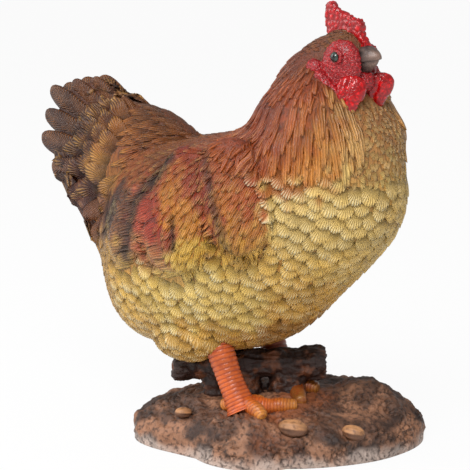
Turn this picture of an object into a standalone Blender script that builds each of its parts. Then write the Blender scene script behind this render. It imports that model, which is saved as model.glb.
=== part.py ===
"""A hen figurine of cast resin, standing on a rock base with a log under its belly.

The whole figurine is one casting, so it is one object. Its pieces are closed shapes that
overlap, which a voxel remesh fuses into one skin. The carving of the plumage is then raised
on that skin, and the underside is cut flat so that the figurine stands.

Frame: metres, +Z up, the hen faces +X, and the origin is under the middle of the figurine's
box, on the surface that it stands on. Sizes below are in millimetres.
"""

import math
import random

import bmesh
import bpy
import numpy as np
from mathutils import Euler, Matrix, Vector, kdtree, noise

NAME = "hen_figurine"
MM = 0.001
SEED = 7

# Rock base
BASE_THICKNESS = 19.0
BASE_SKEW = 35.0  # degrees from the hen's long axis to the base's
BASE_CENTRE = (19.5, 18.5)
BASE_RIM = [89.0, 84.0, 83.0, 70.0, 69.0, 82.0, 88.0, 69.0, 62.5, 62.5, 67.0, 78.0]  # each 30 degrees
BASE_BELOW = 6.0  # depth of the slab's shape that the flat underside cuts away
CRAG_HEIGHT = 2.7
CRAG_SIZE = 11.0
MOUND_HEIGHT = 12.0  # soil under the feet, over the rock's rim
FOOT_HILL_RADII = (34.0, 25.0)
FOOT_HILL_AHEAD = 1.0  # from the foot to the middle of its hill
# Hill of soil at the far side: distance ahead, distance to the left, half sizes
FAR_HILL = (60.0, 50.0, 38.0, 32.0, 36.0)
# Seeds and pebbles: distance ahead, distance to the left, length, turn in degrees
GRIT = [(57.0, -22.0, 7.0, 30.0), (84.0, 2.0, 5.8, 12.0), (-14.0, -34.0, 4.4, 60.0)]
GRIT_SHAPE = (1.25, 0.85, 0.75)
GRIT_STAND = 0.25  # how far its middle is over the soil, as a share of its size
GRIT_LEAN = 8.0  # degrees

# Log under the belly
LOG_RADIUS = 10.5
LOG_LENGTH = 92.0
LOG_TURN = 36.0  # degrees from the hen's long axis
LOG_MIDDLE = (7.0, 5.0)
# Stub of rock under the log: share of the log's length from its middle, radius at its foot
LOG_STUBS = [(-0.22, 7.0), (-0.05, 17.0), (0.25, 15.0)]
LOG_STUB_TOP = 8.4
LOG_FAR_RADIUS = 9.7
LOG_SINK = 1.0  # how far its top is under the belly's lowest level
LOG_STUB_DEPTH = 12.0  # under the top of the soil

# Legs and feet
LEG_HEIGHT = 29.0
LEG_SPREAD = 26.0  # from the middle plane to each leg
LEG_TOP_X = 5.0
LEG_LEAN = 19.0  # how far the foot is ahead of the top of the leg
LEG_IN_BODY = 10.0
LEG_GIRTHS = (9.2, 8.0, 8.4)  # radius at its top, under its middle and at the ankle
LEG_BEND = 0.45  # where its middle girth is, as a share of its height
ANKLE_RISE = 1.5  # over the soil
TOE_GIRTHS = (5.1, 4.6, 3.3)  # radius at the ankle, at the knuckle and at the tip
KNUCKLE_DROP = 0.5
TOE_DROP = 4.0  # from the ankle to a toe's tip
THIGH_RADII = (27.0, 18.0, 18.0)
THIGH_HEIGHT = 13.0  # over the belly
THIGH_BACK = 18.0  # behind the top of the leg
THIGH_LEAN = -5.0  # degrees
# Toe: direction in degrees, inwards from straight ahead, and length
TOES = [(46.0, 33.0), (-12.0, 18.0), (84.0, 18.0), (176.0, 15.0)]

# Body, from the belly up: height over the belly, middle, length ahead of it, length behind it,
# half width
BODY_SECTIONS = [
    (0.0, -27.0, 0.0, 0.0, 0.0),
    (1.5, -26.0, 34.0, 34.0, 22.0),
    (8.5, -22.5, 54.0, 54.0, 34.0),
    (20.5, -17.0, 68.0, 68.0, 44.0),
    (40.5, -9.5, 80.0, 80.0, 53.0),
    (60.5, -0.5, 91.0, 91.0, 57.0),
    (80.5, 9.5, 97.0, 97.0, 58.0),
    (100.5, 17.5, 95.0, 95.0, 57.0),
    (118.5, 32.0, 80.0, 84.0, 52.5),
    (128.0, 51.0, 59.0, 63.0, 48.5),
    (133.0, 60.0, 50.0, 52.0, 47.0),
    (140.5, 70.0, 37.0, 51.0, 44.0),
    (152.0, 72.0, 26.5, 46.5, 41.0),
    (162.0, 74.0, 17.5, 41.0, 36.0),
    (172.0, 70.5, 13.0, 32.5, 25.0),
    (182.0, 68.0, 10.0, 21.5, 15.0),
    (191.0, 70.0, 8.0, 10.5, 9.0),
    (195.0, 71.0, 0.0, 0.0, 0.0),
]

# Head, carried at the top of the body sections
HEAD_HEIGHT = 181.5  # over the belly
HEAD_X = 77.0
HEAD_YAW = -12.0
HEAD_PITCH = 2.0
SKULL_RADII = (17.5, 15.0, 16.0)
# Bare face on each side, right and left: place from the skull's centre, and radii
FACES = [((9.0, -12.2, -4.0), (12.0, 5.2, 16.0)), ((6.0, 10.8, -4.0), (9.5, 4.6, 14.5))]
FACE_TURN = 22.0  # degrees that its front turns inwards
FACE_LEAN = 6.0  # degrees
EYE_RADII = (3.4, 2.6, 3.4)
EYE_PLACES = [(8.5, -16.6, 2.5), (6.0, 14.4, 2.5)]
BEAK_ROOT = (6.5, -1.4)  # from the skull's centre: ahead, up
BEAK_LENGTH = 21.0
BEAK_HEIGHT = 18.0
BEAK_WIDTH = 15.0
BEAK_RISE = 4.0
BEAK_TAPER = 0.35  # share of its width and height that it loses towards its tip
COMB_THICKNESS = 5.0
# Comb blade: distance ahead of the skull's centre, height over it
COMB_OUTLINE = [
    (17.5, 7.0),
    (17.3, 10.0),
    (14.0, 13.5),
    (12.8, 17.5),
    (13.0, 20.8),
    (11.0, 22.4),
    (8.0, 22.6),
    (5.0, 21.4),
    (3.4, 23.8),
    (0.5, 24.0),
    (-1.0, 24.8),
    (-3.5, 25.8),
    (-6.5, 25.4),
    (-9.0, 27.6),
    (-11.5, 30.0),
    (-13.8, 30.2),
    (-15.2, 28.2),
    (-16.0, 22.0),
    (-14.4, 16.0),
    (-12.0, 10.0),
    (-6.0, 5.0),
    (8.0, 3.0),
]
WATTLE_RADII = (8.2, 4.6, 12.5)
WATTLE_SPLAY = 10.0  # degrees outwards
WATTLE_LEAN = 14.0  # degrees that its lower end is turned back
# Wattle: distance ahead of the skull's centre, distance to the left of it, distance below it, turn
# in degrees about the upright, and size
WATTLES = [(18.0, -14.0, 19.2, 40.0, 1.0), (18.0, 10.0, 18.0, 50.0, 0.9)]
CHIN_RADII = (6.0, 8.0, 7.0)
CHIN_PLACE = (15.0, 0.0, -12.0)
EAR_LOBE_RADII = (5.5, 4.0, 5.5)
# Ear lobes, from the ear down to the jaw: distance ahead, distance out, distance below, size
EAR_LOBES = [
    (-5.5, 19.5, 5.0, 0.95),
    (1.0, 21.0, 10.0, 0.85),
    (4.5, 20.5, 14.0, 1.0),
    (8.0, 19.5, 17.0, 0.95),
    (11.5, 18.0, 18.5, 0.8),
]

# Wings: each pad's distance ahead, height over the belly, half length, half height, lean in
# degrees, and how much nearer the middle plane it lies
WING_OUT = 52.0
WING_THICKNESS = 8.5
WING_LEAN_IN = 13.0  # degrees from upright
WING_BOW = 0.42  # degrees of turn for each millimetre behind the shoulder
WING_TOE_IN = 3.0  # degrees, at the shoulder
WING_SQUARENESS = 2.7
WING_PADS = [
    (37.0, 104.0, 20.0, 34.0, -20.0, 0.0),
    (0.0, 92.0, 24.0, 37.0, 4.0, 0.0),
    (-37.0, 80.0, 16.0, 28.0, 26.0, 6.0),
]

# Tail: a tented fan of feathers about its root
TAIL_ROOT = (-44.0, 91.0)
TAIL_FEATHER_THICKNESS = 7.0
TAIL_FEATHER_TILT = 16.0
TAIL_FEATHER_ENDS = (0.75, 1.25)  # share of its width at the root and at the tip
TAIL_STAND_AT_ROOT = 0.5  # share of a feather's distance from the middle plane
TAIL_CORE_RADII = (57.0, 23.0, 47.0)
TAIL_CORE_PLACE = (-20.0, 0.0, 2.0)  # from the root
TAIL_CORE_TURN = 24.0
# Feather: direction in degrees over the horizontal, length, half width, distance from the middle plane
TAIL_FEATHERS = [
    (54.0, 66.0, 10.5, 5.0),
    (46.0, 88.0, 11.5, 4.0),
    (38.5, 97.0, 11.5, 5.0),
    (31.0, 107.0, 11.0, 7.0),
    (22.8, 102.5, 11.0, 9.0),
    (14.6, 98.5, 11.5, 12.0),
    (4.5, 86.0, 12.0, 14.0),
    (-7.0, 70.0, 12.0, 18.0),
    (-21.0, 59.0, 12.0, 22.0),
    (-36.0, 58.0, 12.0, 25.0),
    (-50.0, 60.0, 11.0, 27.0),
]

# Carving
FEATHER_LIFT = 2.0
# Half width and length of each kind of feather
SCALLOP = (6.4, 17.0)
THROAT_FEATHER = (5.0, 12.0)
HACKLE_FEATHER = (5.0, 34.0)
SADDLE_FEATHER = (6.0, 20.0)
TAIL_COVERT = (9.0, 28.0)
# Least distance to the next feather, as shares of a feather's length and half width
FEATHER_SPACING = (0.5, 1.75)
ROW_SPREAD = 9.0
NECK_LOW = 126.0  # over the belly
BACK_LOW = 112.0
FACE_LOW = 151.5
FACE_BACK = 61.0
BARE_ROUND_LEG = 12.0
THIGH_FEATHERS_LOW = 12.0  # over the belly
BACK_OF_NECK = 0.0  # how far ahead the neck's feathers begin
NECK_MIDDLE = 44.0
THROAT_AHEAD = 20.0  # how far ahead of the neck's middle the throat's feathers begin, at the head
THROAT_SLOPE = 0.35  # and how much farther for each millimetre below it
NECK_SPLAY = 0.012  # how much a hackle feather points outwards for each millimetre from the middle
TAIL_BEHIND = 22.0  # how far behind the tail's root its coverts begin
TAIL_UNDER_SLOPE = 0.72
LEAST_LIE = 0.15  # feathers that would point straight out of the skin are left out
CRAG_ROUND_LEG = 3.0  # even soil round each leg
CRAG_LOW = 1.5  # over the underside
CRAG_OCTAVES = 4
CRAG_FALL = 0.8
CRAG_STEP = 2.1
FINE_VOXEL = 1.5
MOST_TRIANGLES = 11400


def ground_height():
    """Height of the soil under the feet over the surface that the figurine stands on."""
    return BASE_THICKNESS + MOUND_HEIGHT


def belly_height():
    """Height of the belly's lowest point over the surface that the figurine stands on."""
    return ground_height() + LEG_HEIGHT


def clear_scene():
    for obj in list(bpy.data.objects):
        bpy.data.objects.remove(obj, do_unlink=True)


def smooth_value(stations, column, t):
    """One column of a list of stations at t from 0 to 1, on a curve through all of them."""
    place = t * (len(stations) - 1)
    i = min(int(place), len(stations) - 2)
    f = place - i
    ends = [stations[min(max(k, 0), len(stations) - 1)][column] for k in (i - 1, i, i + 1, i + 2)]
    before, start, stop, after = ends
    rise = 0.5 * (stop - before)
    fall = 0.5 * (after - start)
    cubic = 2 * f**3 - 3 * f**2 + 1, f**3 - 2 * f**2 + f, -2 * f**3 + 3 * f**2, f**3 - f**2
    return cubic[0] * start + cubic[1] * rise + cubic[2] * stop + cubic[3] * fall


def add_ball(bm, centre, radii, turn=(0.0, 0.0, 0.0), power=2.0, segments=32):
    """A rounded shape: an ellipsoid, or a pad with steep edges where the power is over 2.

    Its turn is in Euler angles in degrees. Returns its vertices.
    """
    made = bmesh.ops.create_uvsphere(bm, u_segments=segments, v_segments=segments // 2, radius=1.0)
    squared_off(made["verts"], power)
    spin = Euler([math.radians(a) for a in turn]).to_matrix().to_4x4()
    place = Matrix.Translation(centre) @ spin @ Matrix.Diagonal((*radii, 1.0))
    bmesh.ops.transform(bm, matrix=place, verts=made["verts"])
    return made["verts"]


def squared_off(verts, power):
    """Swells the vertices of a unit ball at the origin towards a cube, for a pad with steep edges."""
    for vert in verts:
        vert.co /= sum(abs(x) ** power for x in vert.co) ** (1.0 / power)


def add_limb(bm, points, radii):
    """A rounded rod through points, with a ball at each and a tapered length between them."""
    for centre, radius in zip(points, radii):
        add_ball(bm, centre, (radius,) * 3)
    for start, end, first, last in zip(points, points[1:], radii, radii[1:]):
        axis = Vector(end) - Vector(start)
        turn = axis.to_track_quat("Z", "Y").to_matrix().to_4x4()
        middle = (Vector(start) + Vector(end)) / 2
        bmesh.ops.create_cone(
            bm,
            cap_ends=True,
            segments=32,
            radius1=first,
            radius2=last,
            depth=axis.length,
            matrix=Matrix.Translation(middle) @ turn,
        )


def add_body(bm):
    """Belly, breast, back and neck: level oval sections on a curve through BODY_SECTIONS."""
    made = bmesh.ops.create_uvsphere(bm, u_segments=64, v_segments=72, radius=1.0)
    for vert in made["verts"]:
        t = 0.5 + math.asin(max(-1.0, min(1.0, vert.co.z))) / math.pi
        around = math.atan2(vert.co.y, vert.co.x)
        height, middle, ahead, behind, width = (smooth_value(BODY_SECTIONS, k, t) for k in range(5))
        length = ahead if math.cos(around) > 0 else behind
        vert.co = (
            middle + max(length, 0.0) * math.cos(around),
            max(width, 0.0) * math.sin(around),
            belly_height() + height,
        )


def add_thighs(bm):
    """Feathered thighs, which the legs come out of."""
    for side in (-1, 1):
        centre = (LEG_TOP_X - THIGH_BACK, side * LEG_SPREAD, belly_height() + THIGH_HEIGHT)
        add_ball(bm, centre, THIGH_RADII, (0.0, THIGH_LEAN, 0.0))


def head_place():
    """The head's own frame: its origin in the skull, +X ahead along the beak."""
    turn = Matrix.Rotation(math.radians(HEAD_YAW), 4, "Z") @ Matrix.Rotation(math.radians(HEAD_PITCH), 4, "Y")
    return Matrix.Translation((HEAD_X, 0.0, belly_height() + HEAD_HEIGHT)) @ turn


def add_beak(bm):
    """A stout closed beak, blunt at its tip."""
    made = bmesh.ops.create_uvsphere(bm, u_segments=20, v_segments=20, radius=1.0)
    for vert in made["verts"]:
        along = 0.5 * (1.0 - vert.co.z)
        full = 0.5 * (1.0 - BEAK_TAPER * along**2)
        vert.co = (
            BEAK_ROOT[0] + along * BEAK_LENGTH,
            vert.co.x * full * BEAK_WIDTH,
            BEAK_ROOT[1] + vert.co.y * full * BEAK_HEIGHT + along * BEAK_RISE,
        )


def add_comb(bm):
    """A single comb: an upright blade with blunt points."""
    blade = bm.faces.new([bm.verts.new((x, -COMB_THICKNESS / 2, z)) for x, z in COMB_OUTLINE])
    pulled = bmesh.ops.extrude_face_region(bm, geom=[blade])
    far = [g for g in pulled["geom"] if isinstance(g, bmesh.types.BMVert)]
    bmesh.ops.translate(bm, verts=far, vec=(0.0, COMB_THICKNESS, 0.0))


def add_head(bm):
    """Skull, face, eyes, beak, comb, wattles and ear lobes, made in the head's own frame."""
    head = bmesh.new()
    add_ball(head, (0.0, 0.0, 0.0), SKULL_RADII)
    add_ball(head, CHIN_PLACE, CHIN_RADII)
    for side, (place, radii), eye in zip((-1, 1), FACES, EYE_PLACES):
        add_ball(head, place, radii, (side * FACE_LEAN, 0.0, -side * FACE_TURN))
        add_ball(head, eye, EYE_RADII)
        for ahead, out, drop, size in EAR_LOBES:
            add_ball(head, (ahead, side * out, -drop), Vector(EAR_LOBE_RADII) * size)
    for ahead, left, drop, turn, size in WATTLES:
        splay = math.copysign(WATTLE_SPLAY, left)
        add_ball(head, (ahead, left, -drop), Vector(WATTLE_RADII) * size, (splay, WATTLE_LEAN, turn))
    add_beak(head)
    add_comb(head)
    bmesh.ops.recalc_face_normals(head, faces=head.faces)
    bmesh.ops.transform(head, matrix=head_place(), verts=head.verts)
    add_all(bm, head)


def add_all(bm, other):
    """Moves all of another bmesh's geometry into bm."""
    mesh = bpy.data.meshes.new("carried")
    other.to_mesh(mesh)
    other.free()
    bm.from_mesh(mesh)
    bpy.data.meshes.remove(mesh)


def add_wings(bm):
    """Each folded wing is three overlapping pads: shoulder, flight feathers and wing tip."""
    for side in (-1, 1):
        for ahead, height, half_length, half_height, lean, inwards in WING_PADS:
            centre = (ahead, side * (WING_OUT - inwards), belly_height() + height)
            radii = (half_length, WING_THICKNESS, half_height)
            bow = side * (WING_TOE_IN - WING_BOW * ahead)
            add_ball(bm, centre, radii, (side * WING_LEAN_IN, lean, bow), WING_SQUARENESS, 48)


def add_tail(bm):
    """A fan of round-tipped feathers on each side of the middle plane, and a core that carries them."""
    root = Vector((TAIL_ROOT[0], 0.0, belly_height() + TAIL_ROOT[1]))
    core = root + Vector(TAIL_CORE_PLACE)
    add_ball(bm, core, TAIL_CORE_RADII, (0.0, TAIL_CORE_TURN, 0.0))
    narrow, wide = TAIL_FEATHER_ENDS
    for side in (-1, 1):
        for rise, length, half_width, stand in TAIL_FEATHERS:
            radii = (length / 2, TAIL_FEATHER_THICKNESS / 2, half_width)
            made = add_ball(bm, (0.0, 0.0, 0.0), radii, power=WING_SQUARENESS, segments=48)
            for vert in made:
                vert.co.x += length / 2
                vert.co.z *= narrow + (wide - narrow) * vert.co.x / length
            spread = math.degrees(math.atan2((1.0 - TAIL_STAND_AT_ROOT) * stand, length))
            fan = Matrix.Rotation(math.radians(180.0 - side * spread), 4, "Z")
            lift = Matrix.Rotation(math.radians(-rise), 4, "Y")
            tilt = Matrix.Rotation(math.radians(side * TAIL_FEATHER_TILT), 4, "X")
            foot = root + Vector((0.0, side * stand * TAIL_STAND_AT_ROOT, 0.0))
            bmesh.ops.transform(bm, matrix=Matrix.Translation(foot) @ fan @ lift @ tilt, verts=made)


def add_leg(bm, side):
    """One scaly leg with its foot on the soil: three toes ahead and a short one behind."""
    foot = Vector((LEG_TOP_X + LEG_LEAN, side * LEG_SPREAD, ground_height() + ANKLE_RISE))
    top = Vector((LEG_TOP_X, side * LEG_SPREAD, belly_height() + LEG_IN_BODY))
    add_limb(bm, [top, foot.lerp(top, LEG_BEND), foot], LEG_GIRTHS)
    for turn, length in TOES:
        heading = math.radians(-side * turn)
        reach = Vector((math.cos(heading), math.sin(heading), 0.0)) * length
        knuckle = foot + reach / 2 - Vector((0.0, 0.0, KNUCKLE_DROP))
        tip = foot + reach - Vector((0.0, 0.0, TOE_DROP))
        add_limb(bm, [foot, knuckle, tip], TOE_GIRTHS)


def add_log(bm):
    """A broken log that lies under the belly and carries it, on a stub of rock."""
    turn = Matrix.Rotation(math.radians(LOG_TURN), 4, "Z")
    middle = Vector((*LOG_MIDDLE, belly_height() - LOG_RADIUS - LOG_SINK))
    made = bmesh.ops.create_cone(
        bm,
        cap_ends=True,
        segments=22,
        radius1=LOG_RADIUS,
        radius2=LOG_FAR_RADIUS,
        depth=LOG_LENGTH,
        matrix=Matrix.Translation(middle) @ turn @ Matrix.Rotation(math.radians(90.0), 4, "Y"),
    )
    bmesh.ops.subdivide_edges(bm, edges=list({e for v in made["verts"] for e in v.link_edges}), cuts=2)
    along = turn @ Vector((1.0, 0.0, 0.0))
    for share, radius in LOG_STUBS:
        foot = middle + along * LOG_LENGTH * share
        low = Vector((foot.x, foot.y, ground_height() - LOG_STUB_DEPTH))
        add_limb(bm, [foot, low], [LOG_STUB_TOP, radius])


def base_matrix():
    return Matrix.Translation((*BASE_CENTRE, 0.0)) @ Matrix.Rotation(math.radians(BASE_SKEW), 4, "Z")


def rim_distance(angle):
    """Distance of the rock's edge from its centre, on a curve through BASE_RIM."""
    place = (angle / math.tau) % 1.0 * len(BASE_RIM)
    i = int(place)
    around = [(BASE_RIM[(i + k) % len(BASE_RIM)],) for k in (-1, 0, 1, 2)]
    return smooth_value(around, 0, (1.0 + place - i) / 3.0)


def add_base(bm):
    """A slab of rock with a broken outline, under a mound of soil."""
    made = bmesh.ops.create_uvsphere(bm, u_segments=72, v_segments=36, radius=1.0)
    for vert in made["verts"]:
        edge = rim_distance(math.atan2(vert.co.y, vert.co.x))
        share = min(1.0, math.hypot(vert.co.x, vert.co.y))
        dome = BASE_THICKNESS + MOUND_HEIGHT * (1.0 - share**4)
        full = abs(vert.co.z) ** 0.2
        up = full * dome if vert.co.z > 0 else -full * BASE_BELOW
        vert.co = (vert.co.x * edge, vert.co.y * edge, up)
    bmesh.ops.transform(bm, matrix=base_matrix(), verts=made["verts"])


def soil_height(x, y):
    """Height of the slab's top at a place, without its hills."""
    local = base_matrix().inverted() @ Vector((x, y, 0.0))
    share = min(1.0, math.hypot(local.x, local.y) / rim_distance(math.atan2(local.y, local.x)))
    return (BASE_THICKNESS + MOUND_HEIGHT * (1.0 - share**4)) * (1.0 - share**2) ** 0.1


def add_hills(bm):
    """Hills of soil: one under each foot, and one at the far side of the rock."""
    for side in (-1, 1):
        centre = (LEG_TOP_X + LEG_LEAN + FOOT_HILL_AHEAD, side * LEG_SPREAD, 0.0)
        add_ball(bm, centre, (*FOOT_HILL_RADII, ground_height()))
    add_ball(bm, (*FAR_HILL[:2], 0.0), FAR_HILL[2:])


def add_grit(bm):
    """Two seeds and a pebble that lie half sunk in the soil."""
    for x, y, size, turn in GRIT:
        place = (x, y, soil_height(x, y) + GRIT_STAND * size)
        add_ball(bm, place, Vector(GRIT_SHAPE) * size, (0.0, GRIT_LEAN, turn))


def fused(bm, name, voxel):
    """One closed skin round every shape in bm, lightly smoothed."""
    mesh = bpy.data.meshes.new(name)
    bmesh.ops.scale(bm, vec=(MM, MM, MM), verts=bm.verts)
    bm.to_mesh(mesh)
    bm.free()
    obj = bpy.data.objects.new(name, mesh)
    bpy.context.scene.collection.objects.link(obj)
    remesh = obj.modifiers.new("one_skin", "REMESH")
    remesh.mode = "VOXEL"
    remesh.voxel_size = voxel * MM
    smooth = obj.modifiers.new("soften", "SMOOTH")
    smooth.factor = 0.5
    smooth.iterations = 3
    return with_modifiers_applied(obj)


def with_modifiers_applied(obj):
    graph = bpy.context.evaluated_depsgraph_get()
    mesh = bpy.data.meshes.new_from_object(obj.evaluated_get(graph))
    obj.modifiers.clear()
    obj.data = mesh
    return obj


def read_skin(obj):
    """Vertex places and normals as arrays, in millimetres."""
    count = len(obj.data.vertices)
    places = np.empty(count * 3, np.float32)
    normals = np.empty(count * 3, np.float32)
    obj.data.vertices.foreach_get("co", places)
    obj.data.vertex_normals.foreach_get("vector", normals)
    return places.reshape(-1, 3) / MM, normals.reshape(-1, 3)


def coat_of(place):
    """The kind of feather at a place: (half width, length, way it lies), or None where there are none."""
    x, y, z = place
    z -= belly_height()
    bare = math.hypot(x - LEG_TOP_X, abs(y) - LEG_SPREAD) < BARE_ROUND_LEG
    if z < BODY_SECTIONS[1][0] or (z < THIGH_FEATHERS_LOW and bare):
        return None
    if z > FACE_LOW and x > FACE_BACK:
        return None
    if z > NECK_LOW and x > BACK_OF_NECK:
        ahead = x - NECK_MIDDLE
        if ahead > THROAT_AHEAD + THROAT_SLOPE * (HEAD_HEIGHT - z):
            return (*THROAT_FEATHER, (-0.2, 0.0, -1.0))
        return (*HACKLE_FEATHER, (NECK_SPLAY * ahead, NECK_SPLAY * y, -1.0))
    back, up = x - TAIL_ROOT[0], z - TAIL_ROOT[1]
    if back < -TAIL_BEHIND and up > TAIL_UNDER_SLOPE * back:
        return (*TAIL_COVERT, (back, 0.0, up))
    if z > BACK_LOW:
        return (*SADDLE_FEATHER, (-1.0, 0.0, -0.2))
    return (*SCALLOP, (-0.5, 0.0, -1.0))


def feather_height(along, across, half_width, length):
    """Height of a feather over its own root, from 0 to 1, or -1 outside its outline."""
    tip = np.clip((along - 0.45 * length) / (0.55 * length), 0.0, 1.0)
    half = half_width * np.sqrt(np.clip(1.0 - tip**2, 0.0, 1.0))
    inside = (along > 0.0) & (along < length) & (np.abs(across) < half)
    crown = 1.0 - min(0.75, 0.02 * length) * (across / half_width) ** 2
    return np.where(inside, (along / length) * crown, -1.0)


def carve_plumage(obj):
    """Raises overlapping feathers all over the hen, each tip proud of the row below it."""
    places, normals = read_skin(obj)
    order = random.Random(SEED)
    ranks = np.array([order.random() for _ in range(len(places))])
    ranks = np.argsort(ranks * ROW_SPREAD - places[:, 2])
    tree = kdtree.KDTree(len(places))
    for i, place in enumerate(places):
        tree.insert(place, i)
    tree.balance()
    free = np.ones(len(places), bool)
    height = np.zeros(len(places))
    for i in ranks:
        coat = coat_of(places[i]) if free[i] else None
        if coat is None:
            continue
        half_width, length, way = coat
        normal = Vector(normals[i])
        way = Vector(way) - normal * Vector(way).dot(normal)
        if way.length < LEAST_LIE:
            continue
        way.normalize()
        side = normal.cross(way)
        near = np.array([index for _, index, _ in tree.find_range(places[i], length)])
        step = places[near] - places[i]
        along = step @ np.array(way)
        across = step @ np.array(side)
        facing = normals[near] @ np.array(normal) > 0.3
        reach_along, reach_across = FEATHER_SPACING[0] * length, FEATHER_SPACING[1] * half_width
        claimed = (along / reach_along) ** 2 + (across / reach_across) ** 2 < 1.0
        free[near[claimed & facing]] = False
        raised = feather_height(along, across, half_width, length)
        height[near] = np.maximum(height[near], np.where(facing, raised, 0.0))
    places += normals * (height * FEATHER_LIFT)[:, None]
    obj.data.vertices.foreach_set("co", (places * MM).astype(np.float32).ravel())
    obj.data.update()


def roughen_rock(obj):
    """Breaks the surface of the rock, the soil and the log with pits and crags."""
    places, normals = read_skin(obj)
    low = belly_height() - CRAG_ROUND_LEG
    for i in np.flatnonzero(places[:, 2] < low):
        place = Vector(places[i])
        near_leg = any(leg_distance(place, side) < LEG_GIRTHS[1] + CRAG_ROUND_LEG for side in (-1, 1))
        if near_leg or place.z < CRAG_LOW:
            continue
        crag = noise.fractal(place / CRAG_SIZE, CRAG_FALL, CRAG_STEP, CRAG_OCTAVES)
        places[i] += normals[i] * crag * CRAG_HEIGHT
    obj.data.vertices.foreach_set("co", (places * MM).astype(np.float32).ravel())
    obj.data.update()


def leg_distance(place, side):
    """Distance from a place to the middle line of one leg."""
    foot = Vector((LEG_TOP_X + LEG_LEAN, side * LEG_SPREAD, ground_height()))
    top = Vector((LEG_TOP_X, side * LEG_SPREAD, belly_height()))
    share = max(0.0, min(1.0, (place - foot).dot(top - foot) / (top - foot).length_squared))
    return (place - foot.lerp(top, share)).length


def lighten(obj):
    """Fewer triangles where the surface is even, more along the carving."""
    reduce = obj.modifiers.new("fewer_faces", "DECIMATE")
    reduce.ratio = MOST_TRIANGLES / (2 * len(obj.data.polygons))
    reduce.use_collapse_triangulate = True
    return with_modifiers_applied(obj)


def cut_flat(obj):
    """Cuts the underside level, so that the figurine stands on one flat face."""
    bm = bmesh.new()
    bm.from_mesh(obj.data)
    whole = bm.verts[:] + bm.edges[:] + bm.faces[:]
    cut = bmesh.ops.bisect_plane(
        bm, geom=whole, dist=1e-6, plane_co=(0, 0, 0), plane_no=(0, 0, -1), clear_outer=True
    )
    rim = [g for g in cut["geom_cut"] if isinstance(g, bmesh.types.BMEdge)]
    bmesh.ops.edgeloop_fill(bm, edges=rim)
    bmesh.ops.triangulate(bm, faces=bm.faces)
    bmesh.ops.recalc_face_normals(bm, faces=bm.faces)
    bm.to_mesh(obj.data)
    bm.free()


def stand_at_origin(obj):
    """Puts the middle of the figurine's box over the origin."""
    corners = [Vector(corner) for corner in obj.bound_box]
    low, high = corners[0], corners[6]
    middle = Vector(((low.x + high.x) / 2, (low.y + high.y) / 2, 0.0))
    obj.data.transform(Matrix.Translation(-middle))


def resin():
    """The buff paint of the plumage, which covers most of the casting."""
    material = bpy.data.materials.new("painted_resin")
    material.use_nodes = True
    shader = material.node_tree.nodes["Principled BSDF"]
    shader.inputs["Base Color"].default_value = (0.62, 0.38, 0.13, 1.0)
    shader.inputs["Roughness"].default_value = 0.45
    shader.inputs["Metallic"].default_value = 0.0
    return material


def main():
    clear_scene()
    shapes = bmesh.new()
    add_body(shapes)
    add_thighs(shapes)
    add_wings(shapes)
    add_tail(shapes)
    add_head(shapes)
    for side in (-1, 1):
        add_leg(shapes, side)
    add_log(shapes)
    add_base(shapes)
    add_hills(shapes)
    add_grit(shapes)
    hen = fused(shapes, NAME, FINE_VOXEL)
    carve_plumage(hen)
    roughen_rock(hen)
    lighten(hen)
    cut_flat(hen)
    stand_at_origin(hen)
    hen.data.name = NAME
    hen.data.materials.append(resin())


main()
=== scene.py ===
"""Looks of the hen figurine: a cast resin hen, painted by hand, on a rock base with a log.

Every shape is worked out in millimetres in the hen's own frame: +X ahead, +Y to its left, +Z up,
with z = 0 on the surface that it stands on. The last step of each piece puts it in the frame.
"""

import logging
import math
import random
from dataclasses import dataclass
from enum import Enum
from typing import Callable, Sequence

import bmesh
import bpy
import numpy as np
from mathutils import Euler, Matrix, Vector, kdtree, noise
from mathutils.bvhtree import BVHTree


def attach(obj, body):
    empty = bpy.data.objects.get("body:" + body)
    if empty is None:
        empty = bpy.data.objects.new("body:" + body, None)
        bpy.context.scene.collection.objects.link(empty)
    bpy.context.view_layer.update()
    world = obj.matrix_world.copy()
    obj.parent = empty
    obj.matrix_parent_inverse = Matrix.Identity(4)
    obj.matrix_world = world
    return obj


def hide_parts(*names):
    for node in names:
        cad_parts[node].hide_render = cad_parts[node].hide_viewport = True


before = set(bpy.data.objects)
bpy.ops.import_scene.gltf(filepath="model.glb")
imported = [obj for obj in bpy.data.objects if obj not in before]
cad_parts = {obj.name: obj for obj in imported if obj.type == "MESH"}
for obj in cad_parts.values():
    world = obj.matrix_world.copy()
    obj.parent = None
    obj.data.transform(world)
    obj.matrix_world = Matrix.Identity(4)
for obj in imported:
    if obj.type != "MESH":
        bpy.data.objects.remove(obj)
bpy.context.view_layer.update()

LOG = logging.getLogger("hen_figurine")
MM = 0.001
SEED = 11
STAND = Vector((13.04, -18.6, 0.0))  # the hen's own origin, in the frame
NODE = "hen_figurine"
PAINT = "paint"
FEATHER_UV = "feather"

Colour = tuple[float, float, float]
Place = tuple[float, float, float]


def linear(hex_code: str) -> Colour:
    """Turns a paint's hex code into the linear colour that a shader takes.

    Args:
        hex_code: Six hexadecimal digits, red first.

    Returns:
        Red, green and blue from 0 to 1.
    """
    parts = [int(hex_code[i : i + 2], 16) / 255.0 for i in (0, 2, 4)]
    return tuple(p / 12.92 if p < 0.04045 else ((p + 0.055) / 1.055) ** 2.4 for p in parts)


def ease(low: float, high: float, value: np.ndarray) -> np.ndarray:
    """Rises smoothly from 0 at low to 1 at high.

    Args:
        low: Where the rise starts.
        high: Where it ends.
        value: The values to map.

    Returns:
        The share, from 0 to 1, for each value.
    """
    t = np.clip((np.asarray(value, float) - low) / (high - low), 0.0, 1.0)
    return t * t * (3.0 - 2.0 * t)


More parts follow.
